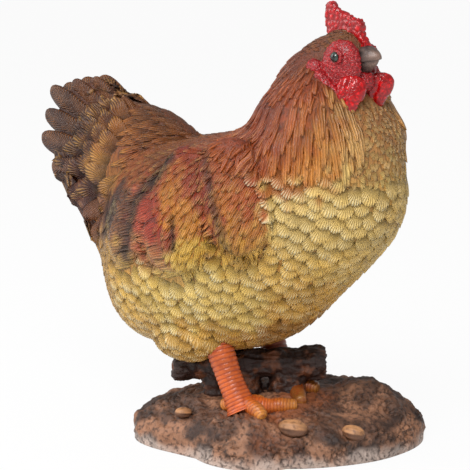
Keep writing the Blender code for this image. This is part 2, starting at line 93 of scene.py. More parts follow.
def spline_value(stops: Sequence[float], t: float) -> float:
    """Reads a smooth curve through evenly spaced stops.

    Args:
        stops: The values that the curve passes through.
        t: Place along the curve, from 0 to 1.

    Returns:
        The curve's value there.
    """
    place = t * (len(stops) - 1)
    i = min(int(place), len(stops) - 2)
    f = place - i
    before, start, stop, after = (stops[min(max(k, 0), len(stops) - 1)] for k in (i - 1, i, i + 1, i + 2))
    rise, fall = 0.5 * (stop - before), 0.5 * (after - start)
    smooth = 3 * f**2 - 2 * f**3
    return start + smooth * (stop - start) + (f**3 - 2 * f**2 + f) * rise + (f**3 - f**2) * fall


# Mesh helpers


def turned(centre: Sequence[float], radii: Sequence[float], turn: Sequence[float]) -> Matrix:
    """Builds the matrix that places a unit shape.

    Args:
        centre: Where its middle goes.
        radii: Its half sizes.
        turn: Its Euler angles, in degrees.

    Returns:
        The matrix.
    """
    spin = Euler([math.radians(a) for a in turn]).to_matrix().to_4x4()
    return Matrix.Translation(centre) @ spin @ Matrix.Diagonal((*radii, 1.0))


def add_ball(
    bm: bmesh.types.BMesh,
    centre: Sequence[float],
    radii: Sequence[float],
    turn: Sequence[float] = (0.0, 0.0, 0.0),
    power: float = 2.0,
    segments: int = 32,
) -> list[bmesh.types.BMVert]:
    """Adds an ellipsoid, or a pad with steeper edges where power is over 2.

    Args:
        bm: The mesh to add to.
        centre: Its middle.
        radii: Its half sizes.
        turn: Its Euler angles, in degrees.
        power: 2 for an ellipsoid, more for a squarer pad.
        segments: Faces round it.

    Returns:
        Its vertices.
    """
    made = bmesh.ops.create_uvsphere(bm, u_segments=segments, v_segments=segments // 2, radius=1.0)
    for vert in made["verts"]:
        vert.co /= sum(abs(x) ** power for x in vert.co) ** (1.0 / power)
    bmesh.ops.transform(bm, matrix=turned(centre, radii, turn), verts=made["verts"])
    return made["verts"]


def add_rod(
    bm: bmesh.types.BMesh,
    path: Sequence[Vector],
    radius: Callable[[float, float], float],
    rings: int,
    segments: int = 28,
) -> dict[bmesh.types.BMVert, tuple[float, float]]:
    """Adds a closed rod along a path, made by pulling a circle along and shaping each ring.

    Args:
        bm: The mesh to add to.
        path: Points that the rod's middle line passes through.
        radius: The radius at a share of the length and an angle round the rod.
        rings: Rings along the rod.
        segments: Faces round it.

    Returns:
        Each vertex's share of the length and angle round the rod, with 0 on the upper side.
    """
    ring = bmesh.ops.create_circle(bm, cap_ends=False, segments=segments, radius=1.0)["verts"]
    verts = list(ring)
    edges = list({edge for vert in ring for edge in vert.link_edges})
    for _ in range(rings):
        pulled = bmesh.ops.extrude_edge_only(bm, edges=edges)["geom"]
        fresh = [g for g in pulled if isinstance(g, bmesh.types.BMVert)]
        edges = [
            g for g in pulled if isinstance(g, bmesh.types.BMEdge) and all(v in fresh for v in g.verts)
        ]
        bmesh.ops.translate(bm, verts=fresh, vec=(0.0, 0.0, 1.0))
        verts.extend(fresh)
    columns = [[point[k] for point in path] for k in range(3)]
    places = {}
    for vert in verts:
        share = vert.co.z / rings
        angle = math.atan2(vert.co.y, vert.co.x)
        middle = Vector([spline_value(column, share) for column in columns])
        ahead = Vector([spline_value(column, min(1.0, share + 0.02)) for column in columns])
        behind = Vector([spline_value(column, max(0.0, share - 0.02)) for column in columns])
        way = (ahead - behind).normalized()
        across = way.cross(Vector((0.0, 0.0, 1.0)) if abs(way.z) < 0.9 else Vector((1.0, 0.0, 0.0)))
        across.normalize()
        out = across.cross(way) * math.cos(angle) + across * math.sin(angle)
        places[vert] = (share, angle)
        vert.co = middle + out * radius(share, angle)
    return places


def finished_mesh(bm: bmesh.types.BMesh, name: str) -> bpy.types.Mesh:
    """Writes a bmesh to a smooth-shaded mesh with its faces outwards.

    Args:
        bm: The shape, which is freed.
        name: The mesh's name.

    Returns:
        The mesh.
    """
    bmesh.ops.remove_doubles(bm, verts=bm.verts, dist=1e-4)
    bmesh.ops.recalc_face_normals(bm, faces=bm.faces)
    mesh = bpy.data.meshes.new(name)
    bm.to_mesh(mesh)
    bm.free()
    mesh.shade_smooth()
    return mesh


def with_modifiers(mesh: bpy.types.Mesh, steps: Callable[[bpy.types.Object], None]) -> bpy.types.Mesh:
    """Runs modifiers on a mesh and keeps the result.

    Args:
        mesh: The mesh, in millimetres, which is removed.
        steps: Adds the modifiers to an object that holds it.

    Returns:
        The new mesh, smooth-shaded.
    """
    holder = bpy.data.objects.new("holder", mesh)
    bpy.context.scene.collection.objects.link(holder)
    steps(holder)
    graph = bpy.context.evaluated_depsgraph_get()
    made = bpy.data.meshes.new_from_object(holder.evaluated_get(graph))
    bpy.data.objects.remove(holder)
    bpy.data.meshes.remove(mesh)
    made.shade_smooth()
    return made


def fused(bm: bmesh.types.BMesh, name: str, voxel: float, smoothing: int = 3) -> bpy.types.Mesh:
    """Fuses overlapping closed shapes into one skin.

    Args:
        bm: The shapes, which are freed.
        name: The mesh's name.
        voxel: Size of the skin's faces.
        smoothing: Rounds of smoothing.

    Returns:
        The closed skin.
    """

    def steps(holder: bpy.types.Object) -> None:
        """Adds the remesh and the smoothing."""
        remesh = holder.modifiers.new("one_skin", "REMESH")
        remesh.mode = "VOXEL"
        remesh.voxel_size = voxel
        smooth = holder.modifiers.new("soften", "SMOOTH")
        smooth.factor = 0.5
        smooth.iterations = smoothing

    return with_modifiers(finished_mesh(bm, name), steps)


def read_mesh(mesh: bpy.types.Mesh) -> tuple[np.ndarray, np.ndarray]:
    """Reads a mesh's vertices.

    Args:
        mesh: The mesh.

    Returns:
        Their places and their normals.
    """
    places = np.empty(len(mesh.vertices) * 3, np.float32)
    normals = np.empty(len(mesh.vertices) * 3, np.float32)
    mesh.vertices.foreach_get("co", places)
    mesh.vertex_normals.foreach_get("vector", normals)
    return places.reshape(-1, 3).astype(float), normals.reshape(-1, 3).astype(float)


def write_places(mesh: bpy.types.Mesh, places: np.ndarray) -> None:
    """Moves a mesh's vertices to new places."""
    mesh.vertices.foreach_set("co", places.astype(np.float32).ravel())
    mesh.update()


def push_out(mesh: bpy.types.Mesh, rule: Callable[[Vector], float]) -> None:
    """Moves each vertex along its normal.

    Args:
        mesh: The mesh.
        rule: How far, at a place.
    """
    places, normals = read_mesh(mesh)
    far = np.array([rule(Vector(place)) for place in places])
    write_places(mesh, places + normals * far[:, None])


def lumps(place: Vector, size: float) -> float:
    """Rounded lumps of one size, packed side by side.

    Args:
        place: Where to read them.
        size: Distance from lump to lump.

    Returns:
        Height from 0 in the gaps to about 1 on a lump.
    """
    near = noise.voronoi(place / size)[0]
    return min(1.0, max(0.0, (near[1] - near[0]) * 1.8))


def coat_with(mesh: bpy.types.Mesh, colours: np.ndarray) -> None:
    """Stores a colour for each vertex, which the finishes read as the hand-laid paint.

    Args:
        mesh: The mesh.
        colours: Linear red, green and blue by vertex.
    """
    layer = mesh.color_attributes.new(PAINT, "FLOAT_COLOR", "POINT")
    rgba = np.ones((len(mesh.vertices), 4), np.float32)
    rgba[:, :3] = np.clip(colours, 0.0, 1.0)
    layer.data.foreach_set("color", rgba.ravel())


def show(mesh: bpy.types.Mesh, name: str, finish: bpy.types.Material) -> bpy.types.Object:
    """Puts a finished mesh in the frame as a piece of the figurine.

    Args:
        mesh: The mesh, in millimetres in the hen's own frame.
        name: The piece's name.
        finish: Its material.

    Returns:
        The piece.
    """
    mesh.transform(Matrix.Scale(MM, 4) @ Matrix.Translation(STAND))
    mesh.name = name
    mesh.materials.clear()
    mesh.materials.append(finish)
    piece = bpy.data.objects.new(name, mesh)
    bpy.context.scene.collection.objects.link(piece)
    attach(piece, "root")
    triangles = sum(len(polygon.vertices) - 2 for polygon in mesh.polygons)
    LOG.info("%s: %d triangles", name, triangles)
    return piece


# Paint


@dataclass(frozen=True)
class Dab:
    """A patch of paint, the same on both sides of the hen."""

    ahead: float
    out: float
    height: float  # over the belly
    code: str
    reach: float = 15.0


@dataclass(frozen=True)
class Palette:
    """The painter's scheme for the plumage, from buff breast to dark tail."""

    dabs: tuple[Dab, ...] = (
        # breast and belly
        Dab(109, 15, 106, "e6c478"),
        Dab(112, 0, 88, "e6c070"),
        Dab(100, 20, 80, "ebc97a"),
        Dab(72, 42, 92, "e8c77c"),
        Dab(90, 25, 66, "e6be66"),
        Dab(60, 45, 60, "e4ba62"),
        Dab(64, 25, 40, "dcaa4c"),
        Dab(48, 10, 22, "b98230", 12),
        Dab(30, 47, 41, "e8c46c"),
        Dab(5, 52, 48, "eaca78"),
        Dab(-17, 53, 36, "e8c46a"),
        Dab(-50, 44, 40, "e6bc60"),
        Dab(-38, 36, 12, "dcae56"),
        Dab(2, 38, 8, "d8a64a"),
        Dab(-70, 30, 38, "daaa54"),
        # throat and neck
        Dab(98, 22, 146, "c8985c", 12),
        Dab(104, 18, 128, "d4a868", 12),
        Dab(102, 2, 152, "c4935a", 12),
        Dab(88, 34, 150, "b87a3c", 10),
        Dab(62, 38, 160, "a05228"),
        Dab(74, 40, 146, "b0642c", 12),
        Dab(55, 12, 179, "87492a"),
        Dab(84, 40, 128, "c58640", 11),
        Dab(52, 46, 134, "9c4c22"),
        Dab(66, 46, 120, "bd7232", 11),
        Dab(40, 20, 150, "8c4222"),
        Dab(50, 8, 165, "874527"),
        Dab(80, 12, 192, "8a5a34", 10),
        Dab(64, 6, 190, "86532f", 10),
        # back and wings
        Dab(24, 32, 134, "9c4a1a"),
        Dab(0, 22, 131, "8c4414"),
        Dab(-26, 20, 128, "8a4e1c"),
        Dab(16, 52, 124, "a8561e"),
        Dab(36, 60, 116, "b05a20", 11),
        Dab(44, 58, 100, "b05020", 10),
        Dab(33, 62, 104, "c8862e", 8),
        Dab(38, 63, 90, "c98c34", 8),
        Dab(48, 62, 88, "b06a2a", 9),
        Dab(44, 64, 76, "d0a046", 10),
        Dab(0, 50, 128, "94300f", 9),
        Dab(10, 57, 117, "922c10", 9),
        Dab(18, 62, 106, "96300f", 8),
        Dab(24, 64, 93, "9a3414", 8),
        Dab(28, 64, 80, "a04424", 7),
        Dab(-8, 55, 111, "b0661c", 9),
        Dab(-5, 59, 97, "cc8628", 8),
        Dab(5, 61, 93, "c47c26", 8),
        Dab(14, 63, 84, "cc8c30", 8),
        Dab(13, 64, 69, "dcb04a", 9),
        Dab(30, 64, 68, "d8ac4c", 9),
        Dab(-18, 56, 98, "a8401e", 8),
        Dab(-24, 58, 86, "b4442a", 9),
        Dab(-10, 61, 80, "a83e24", 9),
        Dab(-26, 58, 74, "a84830", 9),
        Dab(-8, 62, 66, "b47444", 8),
        Dab(-26, 57, 62, "b8844c", 8),
        # tail and rump
        Dab(-50, 12, 132, "7c4a1e"),
        Dab(-58, 26, 114, "9c5420", 13),
        Dab(-74, 20, 120, "9c6228", 12),
        Dab(-78, 22, 102, "b07c38", 11),
        Dab(-98, 12, 138, "6a3c1c", 13),
        Dab(-118, 14, 128, "4a2816", 13),
        Dab(-122, 14, 106, "4c2414", 13),
        Dab(-104, 20, 84, "58281c", 12),
        Dab(-86, 26, 72, "7c4c32", 12),
        Dab(-62, 36, 76, "4a2815", 8),
        Dab(-60, 40, 92, "4a2512", 8),
        Dab(-49, 49, 84, "6a3a1e", 8),
        Dab(-51, 48, 71, "7e5030", 8),
        Dab(-50, 47, 58, "b08448", 8),
        Dab(-78, 28, 52, "9c7038", 10),
        Dab(-62, 36, 54, "bd8f48", 10),
    )

    def at(self, places: np.ndarray, belly: float) -> np.ndarray:
        """Blends the dabs.

        Args:
            places: Points on the hen.
            belly: Height of the hen's belly over the ground.

        Returns:
            A linear colour for each point.
        """
        spots = np.array([(d.ahead, d.out, d.height + belly) for d in self.dabs])
        colours = np.array([linear(d.code) for d in self.dabs])
        reach = np.array([d.reach for d in self.dabs])
        folded = np.stack([places[:, 0], np.abs(places[:, 1]), places[:, 2]], axis=1)
        away = ((folded[:, None, :] - spots[None]) ** 2).sum(2) / (0.62 * reach) ** 2
        away -= away.min(1, keepdims=True)
        share = np.exp(-0.5 * away)
        return ((share @ colours) / share.sum(1, keepdims=True)) ** 1.12


# Finishes


class Tree:
    """A material's node tree, with short ways to add nodes and sums to it."""

    def __init__(self, name: str) -> None:
        """Starts a material with an empty Principled shader."""
        self.material = bpy.data.materials.new(name)
        self.material.use_nodes = True
        self.nodes = self.material.node_tree.nodes
        self.links = self.material.node_tree.links
        self.shader = self.nodes["Principled BSDF"]

    def put(self, socket: bpy.types.NodeSocket, value: object) -> None:
        """Sets a socket to a number or links another socket to it."""
        if isinstance(value, bpy.types.NodeSocket):
            self.links.new(value, socket)
        else:
            socket.default_value = value

    def add(self, kind: str, inputs: dict[str | int, object] | None = None, **settings: object) -> bpy.types.Node:
        """Adds a node.

        Args:
            kind: The node's type, without its ShaderNode prefix.
            inputs: Values or sockets by input name or number.
            **settings: The node's own settings.

        Returns:
            The node.
        """
        node = self.nodes.new("ShaderNode" + kind)
        for key, value in settings.items():
            setattr(node, key, value)
        for key, value in (inputs or {}).items():
            self.put(node.inputs[key], value)
        return node

    def maths(self, operation: str, *values: object) -> bpy.types.NodeSocket:
        """Adds a Math node and returns its result."""
        return self.add("Math", dict(enumerate(values)), operation=operation).outputs[0]

    def span(self, value: object, *ends: float) -> bpy.types.NodeSocket:
        """Maps a value from the first two ends to the last two, held within them."""
        return self.add("MapRange", dict(enumerate((value, *ends)))).outputs[0]

    def mix(self, share: object, first: object, second: object, blend: str = "MIX") -> bpy.types.NodeSocket:
        """Mixes two colours and returns the result."""
        node = self.add("Mix", data_type="RGBA", blend_type=blend)
        for place, value in ((0, share), (6, first), (7, second)):
            self.put(node.inputs[place], value)
        return node.outputs[2]

    def noise(self, scale: float, detail: float = 3.0, drawn: float = 1.0) -> bpy.types.NodeSocket:
        """Cloudy noise in the piece's own metres, drawn out upright by a factor."""
        place = self.add("TexCoord").outputs["Object"]
        place = self.add("VectorMath", {0: place, 1: (1.0, 1.0, 1.0 / drawn)}, operation="MULTIPLY").outputs[0]
        return self.add("TexNoise", {"Vector": place, "Scale": scale, "Detail": detail}).outputs[0]

    def cells(self, scale: float) -> bpy.types.NodeSocket:
        """Distance to the nearest of many scattered points, for pebbled skin."""
        place = self.add("TexCoord").outputs["Object"]
        return self.add("TexVoronoi", {"Vector": place, "Scale": scale}).outputs["Distance"]

    def bump(self, height: bpy.types.NodeSocket, depth: float, strength: float = 1.0) -> None:
        """Raises the surface by a height map, with its depth in metres."""
        self.shader.inputs["Normal"].default_value = (0.0, 0.0, 0.0)
        node = self.add("Bump", {"Height": height, "Distance": depth, "Strength": strength})
        self.links.new(node.outputs[0], self.shader.inputs["Normal"])

    def close(self, colour: bpy.types.NodeSocket, roughness: float, coat: float = 0.0) -> bpy.types.Material:
        """Joins the colour and sets the gloss.

        Args:
            colour: The base colour.
            roughness: The paint's roughness.
            coat: Weight of the clear varnish over it.

        Returns:
            The material.
        """
        self.links.new(colour, self.shader.inputs["Base Color"])
        self.shader.inputs["Roughness"].default_value = roughness
        self.shader.inputs["Coat Weight"].default_value = coat
        self.shader.inputs["Coat Roughness"].default_value = 0.12
        return self.material


class Barbs(Enum):
    """How the fine lines of a feather run."""

    FAN = "spread from a point in the feather"
    VANE = "slanting from the shaft"
    STRAND = "along the feather"


@dataclass(frozen=True)
class FeatherFinish:
    """Paint on carved feathers, with painted shade at the roots, at the edges and between the combed barbs, and a pale
    dry brush on the tips and barb ridges that is also painted highlight.
    """

    name: str
    barbs: Barbs
    lines: float
    pale: str = "f6e8c0"
    pale_highlight_share: float = 0.6
    root_shade: float = 0.5
    edge_shade: float = 0.7
    line_shade: float = 0.76
    slimness: float = 0.32  # half width over length
    depth: float = 0.0008
    roughness: float = 0.42

    def phase(self, tree: Tree, across: bpy.types.NodeSocket, along: bpy.types.NodeSocket) -> bpy.types.NodeSocket:
        """Counts the barbs.

        Args:
            tree: The material's nodes.
            across: Place across the feather, from -1 to 1.
            along: Place along it, from 0 to 1.

        Returns:
            The place among the lines, which rises by one from barb to barb.
        """
        out = tree.maths("MULTIPLY", across, self.slimness)
        if self.barbs is Barbs.FAN:
            turn = tree.maths("ARCTAN2", out, tree.maths("SUBTRACT", along, 0.22))
            return tree.maths("MULTIPLY", turn, self.lines)
        if self.barbs is Barbs.VANE:
            slant = tree.maths("MULTIPLY", tree.maths("ABSOLUTE", out), 1.3)
            return tree.maths("MULTIPLY", tree.maths("SUBTRACT", along, slant), self.lines)
        return tree.maths("MULTIPLY", across, self.lines)

    def material(self) -> bpy.types.Material:
        """Builds the material.

        Returns:
            The material.
        """
        tree = Tree(self.name)
        paint = tree.add("Attribute", attribute_name=PAINT).outputs["Color"]
        uv = tree.add("UVMap", uv_map=FEATHER_UV).outputs[0]
        place = tree.add("SeparateXYZ", {0: uv})
        across = tree.span(place.outputs[0], 0.0, 1.0, -1.0, 1.0)
        along = place.outputs[1]
        waver = tree.span(tree.noise(160.0), 0.3, 0.7, -0.25, 0.25)
        turn = tree.maths("MULTIPLY", tree.maths("ADD", self.phase(tree, across, along), waver), math.tau)
        line = tree.span(tree.maths("SINE", turn), -1.0, 1.0, 0.0, 1.0)
        # Painted shade: darker towards the root, at the edges and in the lines between the barbs.
        root = tree.span(along, 0.2, 0.7, self.root_shade, 1.05)
        edge = tree.span(tree.maths("ABSOLUTE", across), 0.55, 1.0, 1.0, self.edge_shade)
        groove = tree.span(line, 0.0, 0.6, self.line_shade, 1.0)
        cloud = tree.span(tree.noise(60.0), 0.3, 0.7, 0.84, 1.14)
        shade = tree.maths("MULTIPLY", tree.maths("MULTIPLY", root, groove), tree.maths("MULTIPLY", edge, cloud))
        tone = tree.add("CombineXYZ", {0: shade, 1: shade, 2: shade}).outputs[0]
        body = tree.mix(1.0, paint, tone, "MULTIPLY")
        # Painted highlight: the pale dry brush on the barb ridges towards the tip.
        tip = tree.span(along, 0.55, 0.95, 0.0, self.pale_highlight_share)
        brushed_highlight_patches = tree.span(tree.noise(110.0, 5.0), 0.4, 0.6, 0.1, 1.0)
        share = tree.maths("MULTIPLY", tree.maths("MULTIPLY", tip, line), brushed_highlight_patches)
        colour = tree.mix(share, body, (*linear(self.pale), 1.0))
        height = tree.maths("ADD", tree.maths("MULTIPLY", line, 0.75), tree.noise(900.0))
        tree.bump(height, self.depth)
        return tree.close(colour, self.roughness)


@dataclass(frozen=True)
class FleshFinish:
    """Gloss red paint on comb, face and wattles, bright on the high spots and deep in the gaps as painted light and
    shade, with a pink dry brush on some high spots that is painted highlight.
    """

    name: str
    deep: str
    bright: str
    pink_highlight_share: float
    pebble: float
    depth: float
    roughness: float
    coat: float
    pink: str = "ea8a90"

    def material(self) -> bpy.types.Material:
        """Builds the material.

        Returns:
            The material.
        """
        tree = Tree(self.name)
        paint = tree.add("Attribute", attribute_name=PAINT).outputs["Color"]
        cell = tree.cells(1.0 / self.pebble)
        high = tree.span(cell, 0.15, 0.6, 1.0, 0.0)
        # Painted light and shade: bright red on the tops of the pebbles, deep red in the gaps.
        base = tree.mix(high, (*linear(self.deep), 1.0), (*linear(self.bright), 1.0))
        # Painted highlight: pink on some of the high spots.
        patch = tree.span(tree.noise(160.0), 0.45, 0.7, 0.0, self.pink_highlight_share)
        pink_highlighted = tree.mix(tree.maths("MULTIPLY", high, patch), base, (*linear(self.pink), 1.0))
        colour = tree.mix(1.0, pink_highlighted, paint, "MULTIPLY")
        tree.bump(tree.maths("ADD", high, tree.noise(700.0)), self.depth)
        return tree.close(colour, self.roughness, self.coat)


@dataclass(frozen=True)
class PaintedFinish:
    """Paint laid by hand over a cast surface, mottled and worn: beak, legs, log and rock."""

    name: str
    dark: str
    speck_scale: float
    speck_share: float
    grain_scale: float
    depth: float
    roughness: float
    coat: float = 0.0
    drawn: float = 1.0

    def material(self) -> bpy.types.Material:
        """Builds the material.

        Returns:
            The material.
        """
        tree = Tree(self.name)
        paint = tree.add("Attribute", attribute_name=PAINT).outputs["Color"]
        cloud = tree.span(tree.noise(self.speck_scale * 0.3), 0.3, 0.7, 0.78, 1.2)
        tone = tree.add("CombineXYZ", {0: cloud, 1: cloud, 2: cloud}).outputs[0]
        body = tree.mix(1.0, paint, tone, "MULTIPLY")
        grain = tree.noise(self.grain_scale, 6.0, self.drawn)
        specks = tree.span(tree.noise(self.speck_scale, 6.0, self.drawn), 0.5, 0.64, 0.0, self.speck_share)
        colour = tree.mix(specks, body, (*linear(self.dark), 1.0))
        tree.bump(grain, self.depth)
        return tree.close(colour, self.roughness, self.coat)


# The hen's bare form


@dataclass(frozen=True)
class WingPad:
    """One of the three layers of a folded wing."""

    ahead: float
    height: float
    half_length: float
    half_height: float
    lean: float
    inwards: float


@dataclass(frozen=True)
class TailFeather:
    """One long feather of the tail's fan."""

    rise: float  # degrees over the horizontal
    length: float
    half_width: float
    stand: float  # distance from the middle plane


@dataclass(frozen=True)
class HenForm:
    """The hen's form under its plumage: belly, breast, back, neck, wing layers and the tail's core."""

    ground: float = 31.0
    leg_height: float = 29.0
    leg_top_x: float = 5.0
    leg_lean: float = 19.0  # how far the foot is ahead of the top of the leg
    leg_spread: float = 26.0
    heights: tuple[float, ...] = (
        0.0, 1.5, 8.5, 20.5, 40.5, 60.5, 80.5, 100.5, 118.5, 128.0, 133.0, 140.5, 152.0, 162.0, 172.0,
        182.0, 191.0, 195.0,
    )
    middles: tuple[float, ...] = (
        -27.0, -26.0, -22.5, -17.0, -9.5, -0.5, 9.5, 17.5, 32.0, 51.0, 60.0, 70.0, 72.0, 74.0, 70.5,
        68.0, 70.0, 71.0,
    )
    ahead: tuple[float, ...] = (
        0.0, 34.0, 54.0, 68.0, 80.0, 91.0, 97.0, 95.0, 80.0, 59.0, 50.0, 37.0, 26.5, 17.5, 13.0, 10.0,
        8.0, 0.0,
    )
    behind: tuple[float, ...] = (
        0.0, 34.0, 54.0, 68.0, 80.0, 91.0, 97.0, 95.0, 84.0, 63.0, 52.0, 51.0, 46.5, 41.0, 32.5, 21.5,
        10.5, 0.0,
    )
    half_widths: tuple[float, ...] = (
        0.0, 22.0, 34.0, 44.0, 53.0, 57.0, 58.0, 57.0, 52.5, 48.5, 47.0, 44.0, 41.0, 36.0, 25.0, 15.0,
        9.0, 0.0,
    )
    wing_out: float = 52.0
    wing_thickness: float = 8.5
    wing_lean_in: float = 13.0
    wing_pads: tuple[WingPad, ...] = (
        WingPad(37.0, 104.0, 20.0, 34.0, -20.0, 0.0),
        WingPad(0.0, 92.0, 24.0, 37.0, 4.0, 0.0),
        WingPad(-37.0, 80.0, 16.0, 28.0, 26.0, 6.0),
    )
    grooves: tuple[tuple[float, float, tuple[tuple[float, float], ...]], ...] = (
        (3.2, 0.75, ((16.8, 127.0), (23.4, 111.5), (30.6, 93.6), (35.6, 79.3), (38.0, 73.0))),
        (5.2, 1.0, ((-12.8, 121.0), (-20.0, 110.0), (-28.0, 102.0), (-35.0, 94.0), (-38.5, 80.0), (-42.0, 60.0))),
        (2.4, 0.9, ((-2.0, 88.0), (0.0, 80.0), (1.5, 71.0))),
    )  # width, depth, then distance ahead and height over the belly along the line
    tail_root: tuple[float, float] = (-44.0, 91.0)
    tail: tuple[TailFeather, ...] = (
        TailFeather(54.0, 66.0, 10.5, 5.0),
        TailFeather(46.0, 88.0, 11.5, 4.0),
        TailFeather(38.5, 97.0, 11.5, 5.0),
        TailFeather(31.0, 107.0, 11.0, 7.0),
        TailFeather(22.8, 102.5, 11.0, 9.0),
        TailFeather(14.6, 98.5, 11.5, 12.0),
        TailFeather(4.5, 86.0, 12.0, 14.0),
        TailFeather(-7.0, 70.0, 12.0, 18.0),
        TailFeather(-21.0, 59.0, 12.0, 22.0),
        TailFeather(-36.0, 58.0, 12.0, 25.0),
        TailFeather(-50.0, 60.0, 11.0, 27.0),
    )
    head_height: float = 181.5
    head_x: float = 77.0
    head_yaw: float = -12.0
    head_pitch: float = 2.0
    skull: tuple[float, float, float] = (17.5, 15.0, 16.0)

    @property
    def belly(self) -> float:
        """Height of the belly's lowest point."""
        return self.ground + self.leg_height

    def head_place(self) -> Matrix:
        """The head's own frame: its origin in the skull, +X along the beak."""
        yaw = Matrix.Rotation(math.radians(self.head_yaw), 4, "Z")
        pitch = Matrix.Rotation(math.radians(self.head_pitch), 4, "Y")
        return Matrix.Translation((self.head_x, 0.0, self.belly + self.head_height)) @ yaw @ pitch

    def tail_root_place(self) -> Vector:
        """The point that the tail's feathers spread from."""
        return Vector((self.tail_root[0], 0.0, self.belly + self.tail_root[1]))

    def tail_place(self, one: TailFeather, side: int) -> Matrix:
        """Where a feather of the tail goes.

        Args:
            one: The feather, made along +X from the origin.
            side: -1 for the right side, 1 for the left.

        Returns:
            Its matrix.
        """
        spread = math.atan2(0.5 * one.stand, one.length)
        fan = Matrix.Rotation(math.pi - side * spread, 4, "Z")
        lift = Matrix.Rotation(math.radians(-one.rise), 4, "Y")
        tilt = Matrix.Rotation(math.radians(side * 16.0), 4, "X")
        foot = self.tail_root_place() + Vector((0.0, side * one.stand * 0.5, 0.0))
        return Matrix.Translation(foot) @ fan @ lift @ tilt

    def add_tail_feather(
        self, bm: bmesh.types.BMesh, one: TailFeather, side: int, thickness: float, segments: int
    ) -> dict[bmesh.types.BMVert, tuple[float, float]]:
        """Adds a long feather of the tail.

        Args:
            bm: The mesh to add to.
            one: The feather.
            side: -1 for the right side, 1 for the left.
            thickness: Its thickness.
            segments: Faces round it.

        Returns:
            Each vertex's place across and along the feather, from 0 to 1.
        """
        radii = (one.length / 2, thickness / 2, one.half_width)
        made = add_ball(bm, (0.0, 0.0, 0.0), radii, power=2.7, segments=segments)
        places = {}
        for vert in made:
            across = vert.co.z / one.half_width
            vert.co.z *= 0.75 + 0.5 * vert.co.x / one.length
            vert.co.x += one.length / 2
            places[vert] = (0.5 + 0.5 * across, vert.co.x / one.length)
        bmesh.ops.transform(bm, matrix=self.tail_place(one, side), verts=made)
        return places

    def pad_places(self) -> list[Matrix]:
        """The matrices of the wing layers, each from a unit pad, on both sides."""
        places = []
        for side in (-1, 1):
            for pad in self.wing_pads:
                centre = (pad.ahead, side * (self.wing_out - pad.inwards), self.belly + pad.height)
                radii = (pad.half_length, self.wing_thickness, pad.half_height)
                bow = side * (3.0 - 0.42 * pad.ahead)
                places.append(turned(centre, radii, (side * self.wing_lean_in, pad.lean, bow)))
        return places

    def add_torso(self, bm: bmesh.types.BMesh) -> None:
        """Adds belly, breast, back and neck: level oval sections on smooth curves."""
        made = bmesh.ops.create_uvsphere(bm, u_segments=96, v_segments=110, radius=1.0)
        for vert in made["verts"]:
            t = 0.5 + math.asin(max(-1.0, min(1.0, vert.co.z))) / math.pi
            around = math.atan2(vert.co.y, vert.co.x)
            length = self.ahead if math.cos(around) > 0 else self.behind
            vert.co = (
                spline_value(self.middles, t) + max(spline_value(length, t), 0.0) * math.cos(around),
                max(spline_value(self.half_widths, t), 0.0) * math.sin(around),
                self.belly + spline_value(self.heights, t),
            )

    def skin(self) -> bpy.types.Mesh:
        """Fuses the whole bare form.

        Returns:
            The closed skin, with grooves behind the wing layers.
        """
        bm = bmesh.new()
        self.add_torso(bm)
        for side in (-1, 1):
            thigh = (self.leg_top_x - 18.0, side * self.leg_spread, self.belly + 13.0)
            add_ball(bm, thigh, (27.0, 18.0, 18.0), (0.0, -5.0, 0.0))
        for place in self.pad_places():
            pad = add_ball(bm, (0.0, 0.0, 0.0), (1.0, 1.0, 1.0), power=2.7, segments=48)
            bmesh.ops.transform(bm, matrix=place, verts=pad)
        core = self.tail_root_place() + Vector((-20.0, 0.0, 2.0))
        add_ball(bm, core, (57.0, 23.0, 47.0), (0.0, 24.0, 0.0), segments=48)
        for side in (-1, 1):
            for one in self.tail:
                self.add_tail_feather(bm, one, side, 5.2, 28)
        skull = self.head_place() @ turned((0, 0, 0), self.skull, (0, 0, 0))
        bmesh.ops.transform(bm, matrix=skull, verts=add_ball(bm, (0, 0, 0), (1, 1, 1), segments=32))
        mesh = fused(bm, "skin", 1.5)
        places, normals = read_mesh(mesh)
        write_places(mesh, places - normals * (1.8 * self.wing_groove(places))[:, None])
        return mesh

    def on_pads(self, places: np.ndarray) -> list[tuple[np.ndarray, np.ndarray]]:
        """Reads where places lie on each wing layer.

        Args:
            places: Points on the hen.

        Returns:
            For each layer of both wings, the points' distances from its middle in its own size, and
            how far ahead they lie on it.
        """
        found = []
        for place in self.pad_places():
            inverse = np.array(place.inverted())
            local = places @ inverse[:3, :3].T + inverse[:3, 3]
            far = (np.abs(local[:, 0]) ** 2.7 + np.abs(local[:, 2]) ** 2.7) ** (1 / 2.7)
            found.append((np.where(np.abs(local[:, 1]) < 3.0, far, 9.0), local[:, 0]))
        return found

    def wing_groove(self, places: np.ndarray) -> np.ndarray:
        """Depth of the grooves between the wing's layers and behind them, from 0 to 1."""
        flat = np.stack([places[:, 0], places[:, 2] - self.belly], axis=1)
        deepest = np.zeros(len(places))
        for width, depth, line in self.grooves:
            for start, end in zip(line, line[1:]):
                start, step = np.array(start), np.array(end) - np.array(start)
                share = np.clip(((flat - start) @ step) / (step @ step), 0.0, 1.0)
                away = np.hypot(*(flat - start - share[:, None] * step).T)
                deepest = np.maximum(deepest, depth * np.exp(-((away / width) ** 2.6)))
        return deepest * ease(26.0, 34.0, np.abs(places[:, 1]))


# Plumage


